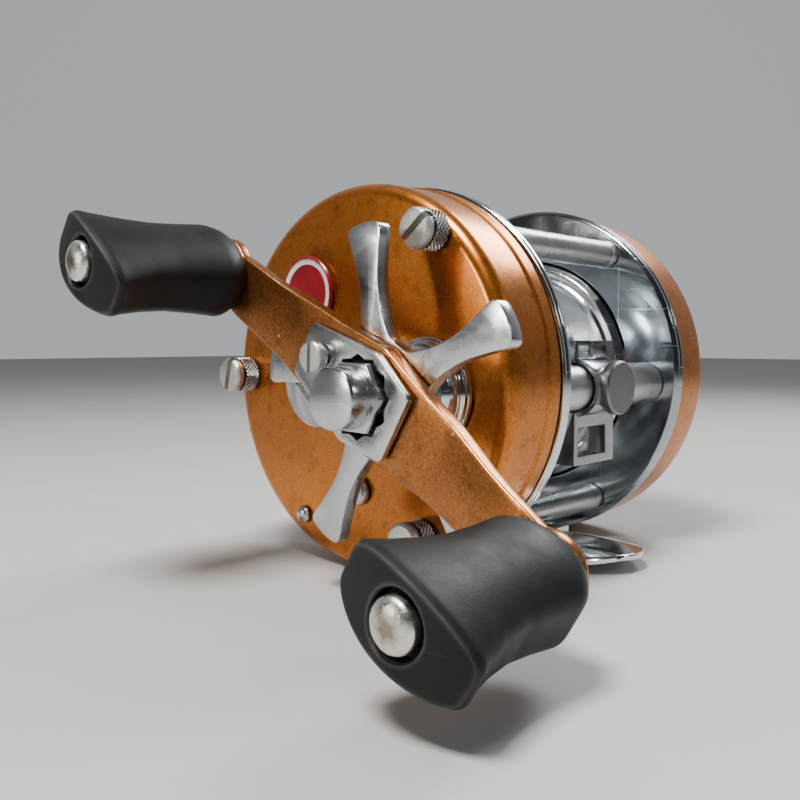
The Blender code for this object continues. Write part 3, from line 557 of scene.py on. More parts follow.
def settle(obj, only_first=False):
    """Apply the modifiers: all of them, or the Boolean that stands first."""
    kept = list(obj.modifiers)[1:] if only_first else []
    states = [(m, m.show_viewport) for m in kept]
    for modifier in kept:
        modifier.show_viewport = False
    graph = bpy.context.evaluated_depsgraph_get()
    graph.update()
    fresh = bpy.data.meshes.new_from_object(obj.evaluated_get(graph))
    for modifier, shown in states:
        modifier.show_viewport = shown
    for modifier in [m for m in obj.modifiers if m not in kept]:
        obj.modifiers.remove(modifier)
    old = obj.data
    name = old.name
    obj.data = fresh
    bpy.data.meshes.remove(old)
    fresh.name = name


def drill(obj, *holes):
    """Cut round holes along X: each is (centre, radius, x0, x1)."""
    bm = bmesh.new()
    for centre, radius, x0, x1 in holes:
        add_turned(bm, [(x0, 0), (x0, radius), (x1, radius), (x1, 0)], centre=centre)
    return combine(obj, bm)


def lathe(obj, profile, centre, segments=96, operation="UNION"):
    """Join or cut a turned shape."""
    bm = bmesh.new()
    add_turned(bm, profile, segments, centre)
    return combine(obj, bm, operation)


def blocks(obj, *boxes, operation="DIFFERENCE"):
    """Cut or join boxes, each given by its low and high corner."""
    bm = bmesh.new()
    for low, high in boxes:
        add_block(bm, low, high)
    return combine(obj, bm, operation)


def slotted(obj, centre, x0, x1, width, degrees, reach=4.0):
    """Cut a straight screwdriver slot across a head."""
    bm = bmesh.new()
    add_block(bm, (x0, -reach, -width / 2), (x1, reach, width / 2))
    for vertex in bm.verts:
        y, z = spun(vertex.co.y, vertex.co.z, degrees)
        vertex.co.yz = (centre[0] + y, centre[1] + z)
    return combine(obj, bm)


def knurled(name, axis, radius, x0, x1, count, depth, finish, body, **extra):
    """A cylinder whose wall is a diamond knurl of that depth."""
    around = count * 6
    rows = max(8, round((x1 - x0) / (TAU * radius / around)))
    lean = 1 / radius           # of the knurl's threads, in radians per millimetre
    bm = bmesh.new()
    rings = []
    for row in range(rows + 1):
        x = x0 + (x1 - x0) * row / rows
        fade = min(1.0, row / 1.5, (rows - row) / 1.5)
        ring = []
        for i in range(around):
            angle = TAU * i / around
            relief = min(abs(math.sin((angle + side * (x - x0) * lean) * count / 2))
                         for side in (-1, 1)) ** 0.7
            r = radius - depth * (1 - relief * fade)
            ring.append(bm.verts.new((x, r * math.cos(angle), r * math.sin(angle))))
        rings.append(ring)
    skin(bm, rings)
    return solid(bm, name, axis, finish, body, **extra)


# ---------------------------------------------------------------- camera, floor, light

def stage():
    """Pale floor, soft studio lights and the camera."""
    bm = bmesh.new()
    bmesh.ops.create_grid(bm, x_segments=1, y_segments=1, size=1500.0)
    floor = solid(bm, "floor", (0.0, FLOOR_Z), None, None)
    s = Shader("pale_floor", roughness=0.55)
    grain = s.noise(40.0, 4.0, 0.6)
    s.set("Base Color", s.blend(s.range(grain, 0.3, 0.7), (0.60, 0.59, 0.57),
                                (0.56, 0.55, 0.53)))
    floor.data.materials.append(s.material)

    world = bpy.data.worlds.new("studio")
    world.use_nodes = True
    nodes, links = world.node_tree.nodes, world.node_tree.links
    background = nodes["Background"]
    background.inputs["Strength"].default_value = 1.0
    place = nodes.new("ShaderNodeTexCoord")
    aim = nodes.new("ShaderNodeVectorMath")
    aim.operation = "DOT_PRODUCT"
    aim.inputs[1].default_value = (-0.73, -0.68, 0.0)
    links.new(place.outputs["Generated"], aim.inputs[0])
    ramp = nodes.new("ShaderNodeValToRGB")
    ramp.color_ramp.interpolation = "EASE"
    for element, (position, tone) in zip(ramp.color_ramp.elements, ((0.35, 0.03), (1.0, 0.48))):
        element.position = position
        element.color = (tone * 0.95, tone * 0.98, tone, 1.0)
    spread = nodes.new("ShaderNodeMapRange")
    for socket, number in zip(list(spread.inputs)[1:5], (-1.0, 1.0, 0.0, 1.0)):
        socket.default_value = number
    links.new(aim.outputs["Value"], spread.inputs[0])
    links.new(spread.outputs[0], ramp.inputs[0])
    links.new(ramp.outputs[0], background.inputs["Color"])
    bpy.context.scene.world = world
    target = Vector((0.01, 0.0, 0.025))
    for name, place, size, power, tint in (
            ("key", (0.17, 0.03, 0.33), 0.10, 1.9, (1.0, 0.98, 0.95)),
            ("front", (-0.10, 0.32, 0.20), 0.05, 0.12, (0.93, 0.96, 1.0)),
            ("side", (0.40, -0.16, 0.10), 0.06, 0.35, (1.0, 0.97, 0.92)),
            ("back", (-0.26, 0.02, 0.30), 0.14, 1.2, (0.95, 0.98, 1.0))):
        light = bpy.data.objects.new(name, bpy.data.lights.new(name, "AREA"))
        light.data.size = size
        light.data.energy = power
        light.data.color = tint
        light.location = place
        light.rotation_euler = (target - Vector(place)).to_track_quat("-Z", "Y").to_euler()
        bpy.context.scene.collection.objects.link(light)

    camera = bpy.data.objects.new("camera", bpy.data.cameras.new("camera"))
    camera.location = (0.10722, 0.08414, 0.02955)
    azimuth, elevation = math.radians(223.16), math.radians(-3.86)
    look = Vector((math.cos(elevation) * math.cos(azimuth),
                   math.cos(elevation) * math.sin(azimuth), math.sin(elevation)))
    camera.rotation_euler = look.to_track_quat("-Z", "Y").to_euler()
    camera.data.lens = 38.93
    camera.data.sensor_width = 36.0
    camera.data.clip_start = 0.005
    bpy.context.scene.collection.objects.link(camera)
    bpy.context.scene.camera = camera


# ---------------------------------------------------------------- frame

def plates():
    """Both chrome plates: rolled rims, a fine groove round the edge, holes and openings."""
    inner, outer = span("frame_plate_right")
    rim = extent("frame_plate_right", 1, 1)
    groove = (inner + outer) / 2 + 0.25
    profile = [(inner, PLATE_OPENING), (inner, rim - 0.5), (inner + 0.4, rim), (groove - 0.22, rim),
               (groove, rim - 0.3), (groove + 0.22, rim), (outer - 0.1, rim),
               (outer, rim - 0.2), (outer, PLATE_OPENING)]
    # the left plate's chrome is painted darker, as shade
    for name, side, finish in (("right", 1, "chrome"), ("left", -1, "worn_shaded_chrome")):
        plate = turned("rim_plate_" + name, [(side * x, r) for x, r in rounded(profile, 0.15)],
                       SPOOL, finish, "frame", "frame_plate_" + name, slot="chrome")
        worm_hole = (WORM, 1.9, side * (inner - 1), side * (outer + 1))
        drill(plate, worm_hole)


def pillar_bars():
    """Satin pillars with small shoulders where they meet the plates."""
    for node in ("pillar_top", "pillar_rear", "pillar_foot_front", "pillar_foot_rear"):
        end = extent(node, 1, 0)
        r = (extent(node, 1, 2) - extent(node, 0, 2)) / 2
        profile = [(-end, 0), (-end, r), (-end + 1.0, r), (-end + 1.2, r - 0.12),
                   (end - 1.2, r - 0.12), (end - 1.0, r), (end, r), (end, 0)]
        turned(node.replace("pillar", "bar"), rounded(profile, 0.12), middle(node),
               "satin_metal", "frame", node, segments=SMALL_ROUND)


def foot():
    """The arched chrome foot with thin, rounded tips, on its saddle."""
    length = extent("reel_foot", 1, 1)
    width = extent("reel_foot", 1, 0)
    drop = -extent("reel_foot", 0, 2)
    tip_start = 20.5
    seat_half = 2.6             # half width of the flat that lies on the rod's seat
    columns = 24
    rows = [math.sin(math.pi / 2 * i / 40) for i in range(-40, 41)]
    bm = bmesh.new()
    loops = []
    for row in rows:
        y = length * row * 0.999
        past = max(0.0, abs(y) - tip_start) / (length - tip_start)
        half = width * math.sqrt(max(0.0004, 1 - past ** 2))
        thin = 1.2 - 0.35 * past
        xs = [half * math.sin(math.pi / 2 * (2 * i / columns - 1)) for i in range(columns + 1)]
        under = []
        over = []
        for x in xs:
            side = max(0.0, abs(x) - seat_half) / (width - seat_half)
            z = -drop * side ** 1.6
            edge = min(1.0, (half - abs(x)) / 0.5) if half > 0.5 else 0.0
            soft = 0.22 * (1 - edge) ** 2
            under.append(bm.verts.new((x, y, z + soft)))
            over.append(bm.verts.new((x, y, z + thin - soft)))
        loops.append(under + list(reversed(over)))
    skin(bm, loops)
    solid(bm, "foot_shell", (0.0, 0.0), "chrome", "frame", "reel_foot")


# ---------------------------------------------------------------- side cups

def cups():
    """Lacquered cups with a rolled flange, a stepped wall and a rounded shoulder."""
    for name, side in (("right", 1), ("left", -1)):
        node = "side_cup_" + name
        seat, face = sorted(abs(x) for x in span(node))
        rim = extent(node, 1, 1)
        wall = rim - 0.3
        corner = (face - CUP_SHOULDER, wall - CUP_SHOULDER)
        fillet = [(corner[0] + CUP_SHOULDER * math.sin(a), corner[1] + CUP_SHOULDER * math.cos(a))
                  for a in (math.pi / 2 * i / 10 for i in range(11))]
        bush = 3.4
        crown = [(face, 20.0), (face, 14.0), (face, bush)]
        outside = [(seat, wall - 0.7), (seat, rim - 0.15), (seat + 0.15, rim),
                   (seat + 1.95, rim), (seat + 2.15, rim - 0.2), (seat + 2.3, wall)]
        ceiling = face - CUP_WALL
        inside = [(ceiling, bush), (ceiling, wall - 2.0), (face - 2.0, wall - 0.7)]
        profile = outside + fillet + crown + inside
        cup = turned("lacquer_cup_" + name, [(side * x, r) for x, r in profile], SPOOL,
                     "bronze_paint", "frame", node, segments=192)
        bm = bmesh.new()
        if side > 0:
            add_block(bm, (18.9, -27.5, 11.6), (23.1, -20.5, 20.4))
            add_turned(bm, [(24, 0), (24, 3.2), (28, 3.2), (28, 0)], SMALL_ROUND, DRIVE)
        else:
            add_block(bm, (-26.5, 12.4, 20.0), (-23.5, 15.6, 28.6))
        combine(cup, bm)
        cup.data.materials.append(FINISH["cup_lining"])
        for polygon in cup.data.polygons:
            x, y, z = polygon.center / MM
            if abs(x) < face - 0.8 and math.hypot(y, z) < wall - 0.5:
                polygon.material_index = 1


def trim():
    """Badge, dome rivet, Phillips screw, left-hand screws and the left bearing cap."""
    at = middle("badge_disc")
    x0, x1 = span("badge_disc")
    turned("badge", [(x0, 0), (x0, 5.1), (x0 + 0.1, 5.2), (x1 - 0.15, 5.2), (x1, 5.05),
                     (x1, 4.85), (x1 - 0.12, 4.75), (x1 - 0.2, 3.2), (x1 - 0.1, 0)],
           at, "badge_enamel", "frame", "badge_disc", segments=96)

    x0, x1 = span("dome_rivet")
    turned("rivet_dome", [(x0, 0)] + dome(x0, x1 - x0, 1.25) + [(x1, 0)],
           middle("dome_rivet"), "satin_metal", "frame", "dome_rivet", segments=SMALL_ROUND)

    at = middle("phillips_screw")
    x1 = extent("phillips_screw", 1, 0)
    seat = x1 - 1.15
    shank = [(seat - 6, 0), (seat - 6, 0.9), (seat, 0.9), (seat, 1.95)]
    screw = turned("cross_screw", shank + dome(seat + 0.3, 0.85, 1.95) + [(x1, 0)], at,
                   "satin_metal", "frame", "phillips_screw", segments=SMALL_ROUND)
    for degrees in (35, 125):
        slotted(screw, at, x1 - 0.6, x1 + 1, 0.42, degrees, 1.15)

    for number in (1, 2, 3):
        node = f"left_screw_{number}"
        at = middle(node)
        top, seat = span(node)
        head = [(seat, 0), (seat, 2.2), (seat - 0.6, 2.2), (top + 0.1, 1.75), (top, 1.5),
                (top, 0)]
        screw = turned(f"cup_screw_{number}", rounded(head, 0.2), at, "satin_metal", "frame",
                       node, segments=SMALL_ROUND)
        slotted(screw, at, top - 1, top + 0.5, 0.6, 0)

    top, seat = span("bearing_cap_left")
    cap = [(seat, 0), (seat, 3.1), (-25.3, 3.1), (-25.3, 5.6), (-27.2, 5.45), (-27.9, 4.8),
           (top, 4.4), (top, 3.0), (top + 0.25, 2.7), (top + 0.25, 0)]
    turned("left_cap", rounded(cap, 0.25), SPOOL, "chrome", "frame", "bearing_cap_left",
           segments=96)


# ---------------------------------------------------------------- spool and level wind

def line_spool():
    """Turned spool with rolled rims, stepped ridges and a dished flange."""
    edge = extent("spool", 1, 0)
    rim = extent("spool", 1, 1)
    half = [(9.2, 8.0), (10.6, 8.4), (11.9, 9.4), (12.8, 11.0), (13.25, 13.0), (13.4, 14.7),
            (13.15, 15.0), (13.1, 15.3), (13.2, 15.6), (13.5, 15.9), (13.5, 16.3),
            (13.3, 16.6), (13.25, 16.9), (13.4, 17.2), (13.8, 17.5), (14.1, rim),
            (edge - 0.35, rim), (edge, rim - 0.35), (edge, rim - 0.8), (edge - 0.5, 16.3),
            (edge - 0.7, 12.0), (13.6, 8.0), (13.2, 6.0), (13.2, 1.4)]
    profile = half + [(-x, r) for x, r in reversed(half)]
    turned("turned_spool", rounded(profile, 0.25), SPOOL, "spool_alloy", "spool", "spool",
           segments=ROUND)


WORM_REACH = 12.5               # half the length of the slot and of the grooves
WORM_TURNS = 5.5


def level_wind():
    """Slotted tube and the worm inside it with its two crossing grooves."""
    end = extent("worm_tube", 1, 0)
    outer = (extent("worm_tube", 1, 2) - extent("worm_tube", 0, 2)) / 2
    tube = turned("guide_tube", rounded([(-end, 2.5), (-end, outer), (end, outer), (end, 2.5)],
                                        0.1), WORM, "satin_metal", "frame", "worm_tube",
                  segments=96)
    blocks(tube, ((-WORM_REACH, WORM[0] - 0.9, WORM[1] - 4),
                  (WORM_REACH, WORM[0] + 0.9, WORM[1] - 1)))

    bm = bmesh.new()
    rings = []
    rows, around = 300, 48
    for row in range(rows + 1):
        x = -13.6 + 27.2 * row / rows
        ring = []
        for i in range(around):
            angle = TAU * i / around
            radius = 2.1
            if abs(x) < WORM_REACH:
                for way in (-1, 1):
                    phase = (way * x / WORM_REACH * math.pi * WORM_TURNS - angle) % TAU
                    off = min(phase, TAU - phase)
                    if off < 0.5:
                        radius = min(radius, 1.45 + 0.65 * max(0.0, off - 0.3) / 0.2)
            ring.append(bm.verts.new((x, radius * math.cos(angle), radius * math.sin(angle))))
        rings.append(ring)
    skin(bm, rings)
    worm = solid(bm, "cross_worm", WORM, "steel", "worm", "worm_shaft")
    bm = bmesh.new()
    for side, tip in ((-1, -15.9), (1, 17.6)):
        low, high = sorted((side * 13.3, tip))
        add_turned(bm, [(low, 0), (low, 1.5), (high, 1.5), (high, 0)], 32, WORM)
    combine(worm, bm, "UNION")


def line_guide():
    """Carriage: sleeve on the tube, conical front boss, and rounded wire-like loops."""
    low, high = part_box("line_guide")
    x0, x1 = low.x / MM, high.x / MM
    centre = (x0 + x1) / 2
    bottom, top = low.z / MM, high.z / MM
    front = high.y / MM
    y = WORM[0]
    bm = bmesh.new()
    add_block(bm, (x0, y - 2.3, bottom), (x1, y + 0.7, top))
    guide = solid(bm, "guide_carriage", (0.0, 0.0), "guide_chrome", "guide", "line_guide",
                  slot="chrome", bevel=0.3)
    left, right = x0 + 2.2, x1 - 0.9
    blocks(guide, ((left, y - 3, WORM[1] + 3.7), (right, y + 3, top - 0.7)),
           ((left, y - 3, bottom + 1.2), (right, y + 3, WORM[1] - 5.4)))
    lathe(guide, [(centre - 4.4, 0), (centre - 4.4, 4.0), (centre + 4.4, 4.0),
                  (centre + 4.4, 0)], WORM)
    settle(guide)
    bm = bmesh.new()
    rings = [(1.1, 0), (1.1, 2.9), (2.0, 2.9), (2.5, 3.0), (3.0, 3.25), (3.4, 3.55),
             (3.6, 3.68), (front - y - 0.3, 3.7), (front - y, 3.45), (front - y, 0)]
    add_turned(bm, rings, 96)
    for vertex in bm.verts:
        x, turned_y, z = vertex.co
        vertex.co = (centre + turned_y, y + x, WORM[1] + z)
    combine(guide, bm, "UNION")
    lathe(guide, [(x0 - 2, 0), (x0 - 2, 3.4), (x1 + 2, 3.4), (x1 + 2, 0)], WORM,
          operation="DIFFERENCE")
    guide.data.materials.append(FINISH["dark_boss"])
    for polygon in guide.data.polygons:
        if polygon.center.y > (front - 1.6) * MM:
            polygon.material_index = 1


# ---------------------------------------------------------------- outside right

def thumb_screws():
    """Knurled thumb screws with a groove and a slotted, polished head."""
    for name, turn in (("top", 38), ("rear", 75), ("bottom", 20)):
        node = "thumb_screw_" + name
        at = middle(node)
        top = extent(node, 1, 0)
        seat = top - 4.0
        knurled("screw_knurl_" + name, at, 2.55, seat, seat + 2.4, 27, 0.28,
                "knurl", "screw_" + name, node=node, slot="satin_metal")
        head = [(seat - 12, 0), (seat - 12, 1.2), (seat, 1.2), (seat + 0.1, 2.0),
                (seat + 2.8, 2.0), (seat + 2.8, 2.4), (seat + 2.95, 2.52), (seat + 3.6, 2.52),
                (top, 2.15), (top, 0)]
        cap = turned("screw_head_" + name, rounded(head, 0.15), at, "pewter",
                     "screw_" + name, segments=SMALL_ROUND, slot="satin_metal")
        slotted(cap, at, top - 1.3, top + 1, 0.95, turn)


def tension_cap():
    """Cast-tension cap: bevelled edge and a face crossed by a band of small square pits."""
    seat, top = span("tension_cap")
    rim = extent("tension_cap", 1, 1)
    reach = rim - 0.55
    profile = [(seat, 0), (seat, rim - 0.15), (seat + 0.3, rim), (top - 0.4, rim),
               (top - 0.1, rim - 0.3), (top, reach), (top - 0.35, reach), (top - 0.35, 0)]
    turned("cap_shell", profile, SPOOL, "satin_metal", "tension", "tension_cap",
           segments=128, bevel=0.12)
    side = 132
    along = Vector((0.745, -0.667))
    across = Vector((0.667, 0.745))
    pitch = 0.46
    bm = bmesh.new()
    grid = []
    for i in range(side + 1):
        line = []
        for j in range(side + 1):
            u = 2 * i / side - 1
            v = 2 * j / side - 1
            y = u * math.sqrt(1 - v * v / 2) * reach
            z = v * math.sqrt(1 - u * u / 2) * reach
            p, q = along.dot((y, z)), across.dot((y, z))
            ways = [abs((w / pitch + 0.5) % 1 - 0.5) * 2 for w in (p, q)]
            pit = max(0.0, min(1.0, (0.72 - max(ways)) / 0.2))
            band = 0.0 if abs(q + 1.9) < 1.15 and math.hypot(y, z) < reach - 0.5 else 1.0
            ridge = 0.03 * math.sin(math.hypot(y - 1.5, z + 1.0) * 3.2)
            depth = 0.2 * pit if not band else 0.03 + ridge
            line.append(bm.verts.new((top - 0.05 - depth, y, z)))
        grid.append(line)
    for i in range(side):
        for j in range(side):
            bm.faces.new((grid[i][j], grid[i + 1][j], grid[i + 1][j + 1], grid[i][j + 1]))
    border = [e for e in bm.edges if e.is_boundary]
    made = bmesh.ops.extrude_edge_only(bm, edges=border)["geom"]
    skirt = [g for g in made if isinstance(g, bmesh.types.BMVert)]
    bmesh.ops.translate(bm, vec=(-0.25, 0, 0), verts=skirt)
    bmesh.ops.contextual_create(bm, geom=[e for e in bm.edges if e.is_boundary])
    face = solid(bm, "cap_face", SPOOL, "satin_metal", "tension")
    face.data.materials.append(FINISH["pit"])
    for polygon in face.data.polygons:
        if polygon.center.x < (top - 0.15) * MM:
            polygon.material_index = 1


def collar():
    """Ridged chrome collar round the drive shaft."""
    seat, top = span("drive_collar")
    profile = [(seat, 1.9), (seat, 6.8), (seat + 0.15, 6.9), (27.5, 6.9), (27.6, 6.75),
               (27.7, 6.45), (28.2, 6.25), (28.6, 6.2), (28.7, 6.05), (28.8, 5.75),
               (29.2, 5.3), (29.6, 5.15), (top, 4.9), (top, 1.9)]
    turned("collar_rings", rounded(profile, 0.12), DRIVE, "chrome", "frame", "drive_collar",
           segments=128)


def smooth_closed(points, steps):
    """A closed Catmull-Rom curve through the points."""
    out = []
    count = len(points)
    for i in range(count):
        p0, p1, p2, p3 = (Vector(points[(i + k) % count]) for k in (-1, 0, 1, 2))
        for k in range(steps):
            t = k / steps
            out.append(tuple(0.5 * (2 * p1 + (p2 - p0) * t
                                    + (2 * p0 - 5 * p1 + 4 * p2 - p3) * t ** 2
                                    + (3 * p1 - p0 - 3 * p2 + p3) * t ** 3)))
    return out


STAR_ANGLE = 25.0
STAR_TIP = 20.2
# half a blade: radius and angle from its middle line, root to tip
STAR_BLADE = ((6.9, 24.0), (8.2, 15.0), (10.5, 8.8), (13.5, 6.6), (17.0, 7.3),
              (STAR_TIP - 1.2, 8.0), (STAR_TIP - 0.35, 7.2), (STAR_TIP - 0.02, 5.0))


def star():
    """Star drag: five blades that widen to their tips, softly bevelled, brushed faces."""
    node = "star_drag"
    front = extent(node, 1, 0)
    back = front - 1.8
    blade = [(6.6, -36.0)] + [(radius, -degrees) for radius, degrees in STAR_BLADE]
    blade += [(STAR_TIP + 0.08, 0.0)] + list(reversed(STAR_BLADE))
    points = []
    for number in range(5):
        centre = STAR_ANGLE + 72.0 * number
        for radius, degrees in blade:
            points.append(polar((0, 0), radius, centre + degrees))
    wheel = prism("star_blades", smooth_closed(points, 4), (back, front), DRIVE, "brushed",
                  "star", node, slot="chrome", bevel=0.22)
    lathe(wheel, [(30.9, 0), (30.9, 3.6), (back + 0.2, 3.6), (back + 0.2, 0)], DRIVE, 64)
    drill(wheel, (DRIVE, SHAFT_BORE, 28, 38))


# ---------------------------------------------------------------- handle

CRANK = (12.4, 24.8)
ARM_HUB = (36.0, 38.0)
ARM_EYES = {1: (38.1, 39.6), -1: (37.4, 38.9)}
EYE_RADIUS = 4.35
ARM_WIDTHS = ((0.0, 6.45), (8.0, 5.2), (11.2, 4.9), (15.0, 4.4), (19.0, 4.05), (24.8, 3.9),
              (27.0, 3.68))


def arm_half_width(u):
    """Half width at distance u: a wide hub, a taper and a round eye."""
    reach = abs(u)
    eye = math.sqrt(max(0.01, EYE_RADIUS ** 2 - (reach - HANDLE_RADIUS) ** 2))
    if reach > ARM_WIDTHS[-1][0]:
        return eye
    for (near, wide), (far, narrow) in zip(ARM_WIDTHS, ARM_WIDTHS[1:]):
        if reach <= far:
            return wide + (narrow - wide) * (reach - near) / (far - near)
    return eye


def handle_arm():
    """Cranked copper bar with a smooth bend, rounded edges and round eyes."""
    end = HANDLE_RADIUS + EYE_RADIUS
    neck = ARM_WIDTHS[-1][0]
    half_stations = [neck * i / 44 for i in range(45)]
    half_stations += [neck + (end - neck) * math.sin(math.pi / 2 * i / 26) for i in range(1, 27)]
    stations = [-u for u in reversed(half_stations[1:])] + half_stations
    bm = bmesh.new()
    loops = []
    edge = 0.36
    for u in stations:
        past = min(1.0, max(0.0, abs(u) - CRANK[0]) / (CRANK[1] - CRANK[0]))
        eased = past * past * (3 - 2 * past) * 0.5 + past * 0.5
        eye_x = ARM_EYES[1 if u > 0 else -1]
        back, front = (hub + (eye - hub) * eased for hub, eye in zip(ARM_HUB, eye_x))
        half = arm_half_width(u)
        section = []
        for cx, side, start in ((back + edge, -1, 180), (front - edge, -1, 270),
                                (front - edge, 1, 0), (back + edge, 1, 90)):
            for k in range(5):
                angle = math.radians(start + 90 * k / 4)
                v = side * max(0.0, half - edge) + min(edge, half) * math.sin(angle)
                section.append((cx + edge * math.cos(angle), v))
        loops.append([bm.verts.new((px, *along_handle(u, pv))) for px, pv in section])
    skin(bm, loops)
    arm = solid(bm, "copper_arm", DRIVE, "copper_paint", "crank", "handle_arm")
    drill(arm, (DRIVE, SHAFT_BORE, 34, 42), (FRONT_PIN, 1.5, 34, 44), (REAR_PIN, 1.5, 34, 44))


LOCK_WINDOW = 4.95
NUT_RADIUS = 4.5                # over the corners


def fasteners():
    """Lock plate with its twelve-cornered window, lock screw and the capped nut."""
    back, front = span("lock_plate")
    corners = ((-10.9, -3.5), (-10.9, 3.5), (0.1, 6.0), (6.75, 4.35), (6.75, -4.35), (0.1, -6.0))
    outline = rounded([along_handle(u, v) for u, v in corners], 0.7, 6)
    plate = prism("lock_plate_sheet", outline, (back, front), DRIVE, "brushed", "crank",
                  "lock_plate", slot="satin_metal", bevel=0.14)
    for turn in (0, 30):
        hexagon = [polar(DRIVE, LOCK_WINDOW, HANDLE_ANGLE + turn + 60 * i) for i in range(6)]
        bm = bmesh.new()
        add_prism(bm, hexagon, back - 1, front + 1)
        combine(plate, bm)

    at = middle("lock_screw")
    top = extent("lock_screw", 1, 0)
    profile = [(36.4, 0), (36.4, 0.8), (39.5, 0.8), (39.5, 1.45), (39.75, 1.5), (39.9, 1.3),
               (40.05, 1.3), (40.1, 1.85), (top - 0.25, 1.9), (top, 1.65), (top, 0)]
    screw = turned("lock_screw_head", rounded(profile, 0.1), at, "pewter", "crank",
                   "lock_screw", segments=SMALL_ROUND, slot="satin_metal")
    slotted(screw, at, top - 0.7, top + 1, 0.55, 88)

    back, top = span("handle_nut")
    hexagon = [polar((0, 0), NUT_RADIUS, 30 + HANDLE_ANGLE + 60 * i) for i in range(6)]
    nut = prism("capped_nut", hexagon, (back, 40.0), DRIVE, "brushed", "crank", "handle_nut",
                slot="chrome", bevel=0.15)
    cap = [(39.8, 0), (39.8, 3.6), (40.3, 3.6), (40.45, 3.5), (40.6, 3.6), (top - 0.3, 3.6),
           (top - 0.08, 3.5), (top, 3.3), (top, 0)]
    lathe(nut, cap, DRIVE)


# a knob's section: share of the knob's length, half length, half breadth at the ends and in
# the middle, squareness
KNOB_SECTIONS = ((0.0, 4.9, 3.0, 4.4, 4.0), (0.04, 5.5, 3.4, 4.95, 4.5),
                 (0.12, 6.05, 3.5, 5.1, 6.0), (0.32, 5.8, 3.2, 4.85, 6.0),
                 (0.5, 5.75, 3.05, 4.6, 6.0), (0.7, 6.3, 2.95, 4.45, 6.5),
                 (0.88, 7.2, 2.8, 4.35, 6.5), (0.965, 7.75, 2.75, 4.3, 6.5),
                 (0.985, 7.65, 2.65, 4.2, 6.5), (1.0, 7.3, 2.35, 3.9, 6.5))


KNOB_DOME = 1.13                # how far the end face falls back at the reach below
KNOB_DOME_REACH = 7.0
FRONT_KNOB_TURN = -30.0
REAR_KNOB_TURN = -38.0


def knob_size(t):
    """The section's numbers at share t of the knob's length, eased between the stations."""
    for first, second in zip(KNOB_SECTIONS, KNOB_SECTIONS[1:]):
        if t <= second[0]:
            k = (t - first[0]) / (second[0] - first[0])
            return [a + (b - a) * k for a, b in zip(first[1:], second[1:])]
    return KNOB_SECTIONS[-1][1:]


def knob(name, at, turn, body):
    """Rubber paddle: round at the arm, waisted, flaring to a bevelled, domed end."""
    node = "knob_" + name
    back, front = span(node)
    rows, around = 90, 144
    bm = bmesh.new()
    loops = []
    for row in range(rows + 1):
        t = row / rows
        sizes = [knob_size(max(0.0, min(1.0, t + shift))) for shift in (-0.02, 0.0, 0.02)]
        half_length, end_half, middle_half, power = (sum(each) / 3 for each in zip(*sizes))
        loop = []
        for i in range(around):
            angle = TAU * i / around
            c, s = math.cos(angle), math.sin(angle)
            scale = (abs(c) ** power + abs(s) ** power) ** (-1 / power)
            breadth = middle_half - (middle_half - end_half) * (c * scale) ** 2
            u, v = half_length * c * scale, breadth * s * scale
            x = back + t * (front - back) - KNOB_DOME * (u / KNOB_DOME_REACH) ** 2 * t ** 4
            loop.append(bm.verts.new((x, *spun(u, v, turn))))
        loops.append(loop)
    rim = loops[-1]
    for share in (0.93, 0.85, 0.75, 0.65, 0.55, 0.45):
        ring = []
        for vertex in rim:
            u = spun(vertex.co.y, vertex.co.z, -turn)[0]
            x = front - KNOB_DOME * (u * share / KNOB_DOME_REACH) ** 2
            ring.append(bm.verts.new((x, vertex.co.y * share, vertex.co.z * share)))
        loops.append(ring)
    skin(bm, loops)
    grip = solid(bm, "grip_" + name, at, "rubber", body, node)
    lathe(grip, [(front - 2.0, 0), (front - 2.0, 2.95), (front - 0.35, 2.95),
                 (front + 0.2, 3.3), (front + 2, 3.5), (front + 2, 0)], at,
          operation="DIFFERENCE")


def knob_pins():
    """Domed pewter pin heads."""
    for name, at in (("front", FRONT_PIN), ("rear", REAR_PIN)):
        node = "knob_pin_" + name
        tail, top = span(node)
        profile = [(tail, 0), (tail, 1.2), (top - 2.7, 1.2), (top - 2.7, 2.4)]
        turned("pin_head_" + name, profile + dome(top - 1.0, 1.0, 2.4, 14) + [(top, 0)], at,
               "pin_head", "crank", node, segments=96, slot="satin_metal")


# ---------------------------------------------------------------- small moving parts

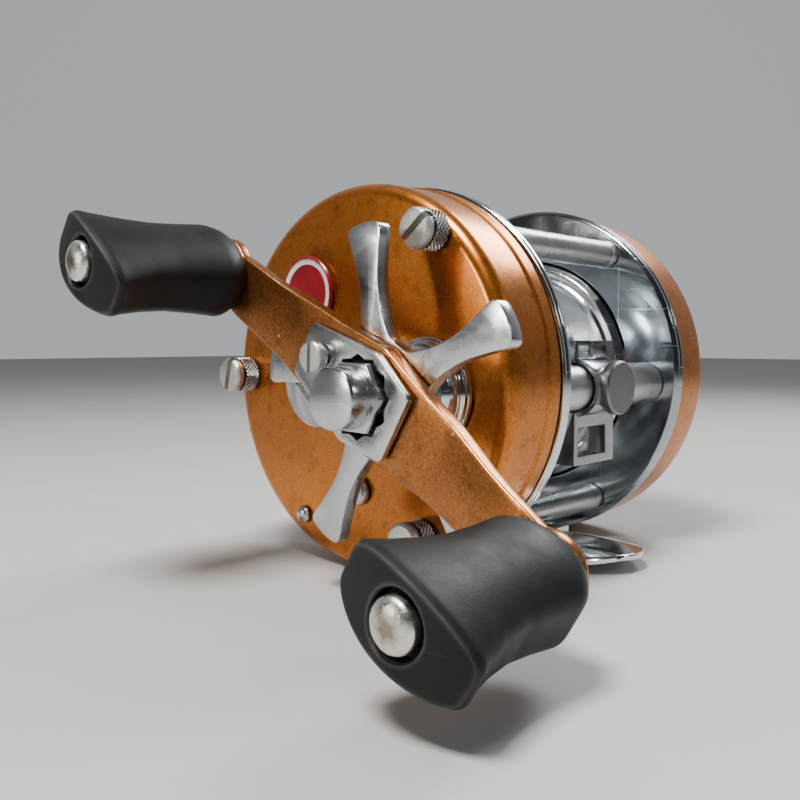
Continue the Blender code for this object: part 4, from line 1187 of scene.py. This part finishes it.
def buttons():
    """Clutch and click buttons with ribbed faces."""
    low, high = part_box("clutch_button")
    bm = bmesh.new()
    add_block(bm, (19.3, low.y / MM, 14.8), (22.7, -20.2, 20.0))
    clutch = solid(bm, "clutch_key", (0.0, 0.0), "chrome", "clutch", "clutch_button",
                   bevel=0.35)
    ribs = (15.6 + 0.85 * i for i in range(5))
    blocks(clutch, *(((18.5, low.y / MM - 1, z), (23.5, low.y / MM + 0.25, z + 0.35))
                     for z in ribs))
    blocks(clutch, ((19.9, -20.5, 15.2), (20.9, high.y / MM, 22.0)), operation="UNION")

    low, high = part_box("click_button")
    bm = bmesh.new()
    add_block(bm, (low.x / MM, 12.7, 20.3), (-23.0, 15.3, 24.3))
    click = solid(bm, "click_key", (0.0, 0.0), "chrome", "clicker", "click_button", bevel=0.3)
    ribs = (21.0 + 0.9 * i for i in range(3))
    blocks(click, *(((low.x / MM - 1, 12, z), (low.x / MM + 0.3, 16, z + 0.4)) for z in ribs))
    blocks(click, ((-23.2, 12.9, 20.4), (high.x / MM, 15.1, 23.6)), operation="UNION")


def inner_parts():
    """CAD nodes that keep their own shape take the fine materials."""
    slots = {entry["node"]: entry["material_slot"] for entry in frame["record"]["subparts"]}
    for node, obj in frame["nodes"].items():
        if obj.hide_render:
            continue
        obj.data.materials.clear()
        obj.data.materials.append(FINISH[slots[node]])


def polish():
    """Apply the modifiers and shade every new piece smooth, with its edges kept sharp."""
    for obj in list(bpy.data.objects):
        if obj.get("smooth") and obj.type == "MESH":
            if obj.modifiers:
                settle(obj)
            obj.data.shade_smooth()
            obj.data.set_sharp_from_angle(angle=SMOOTH_ANGLE)


stage()
plates()
pillar_bars()
foot()
cups()
trim()
line_spool()
level_wind()
line_guide()
thumb_screws()
tension_cap()
collar()
star()
handle_arm()
fasteners()
knob("front", FRONT_PIN, FRONT_KNOB_TURN, "front_knob")
knob("rear", REAR_PIN, REAR_KNOB_TURN, "rear_knob")
knob_pins()
buttons()
inner_parts()
polish()
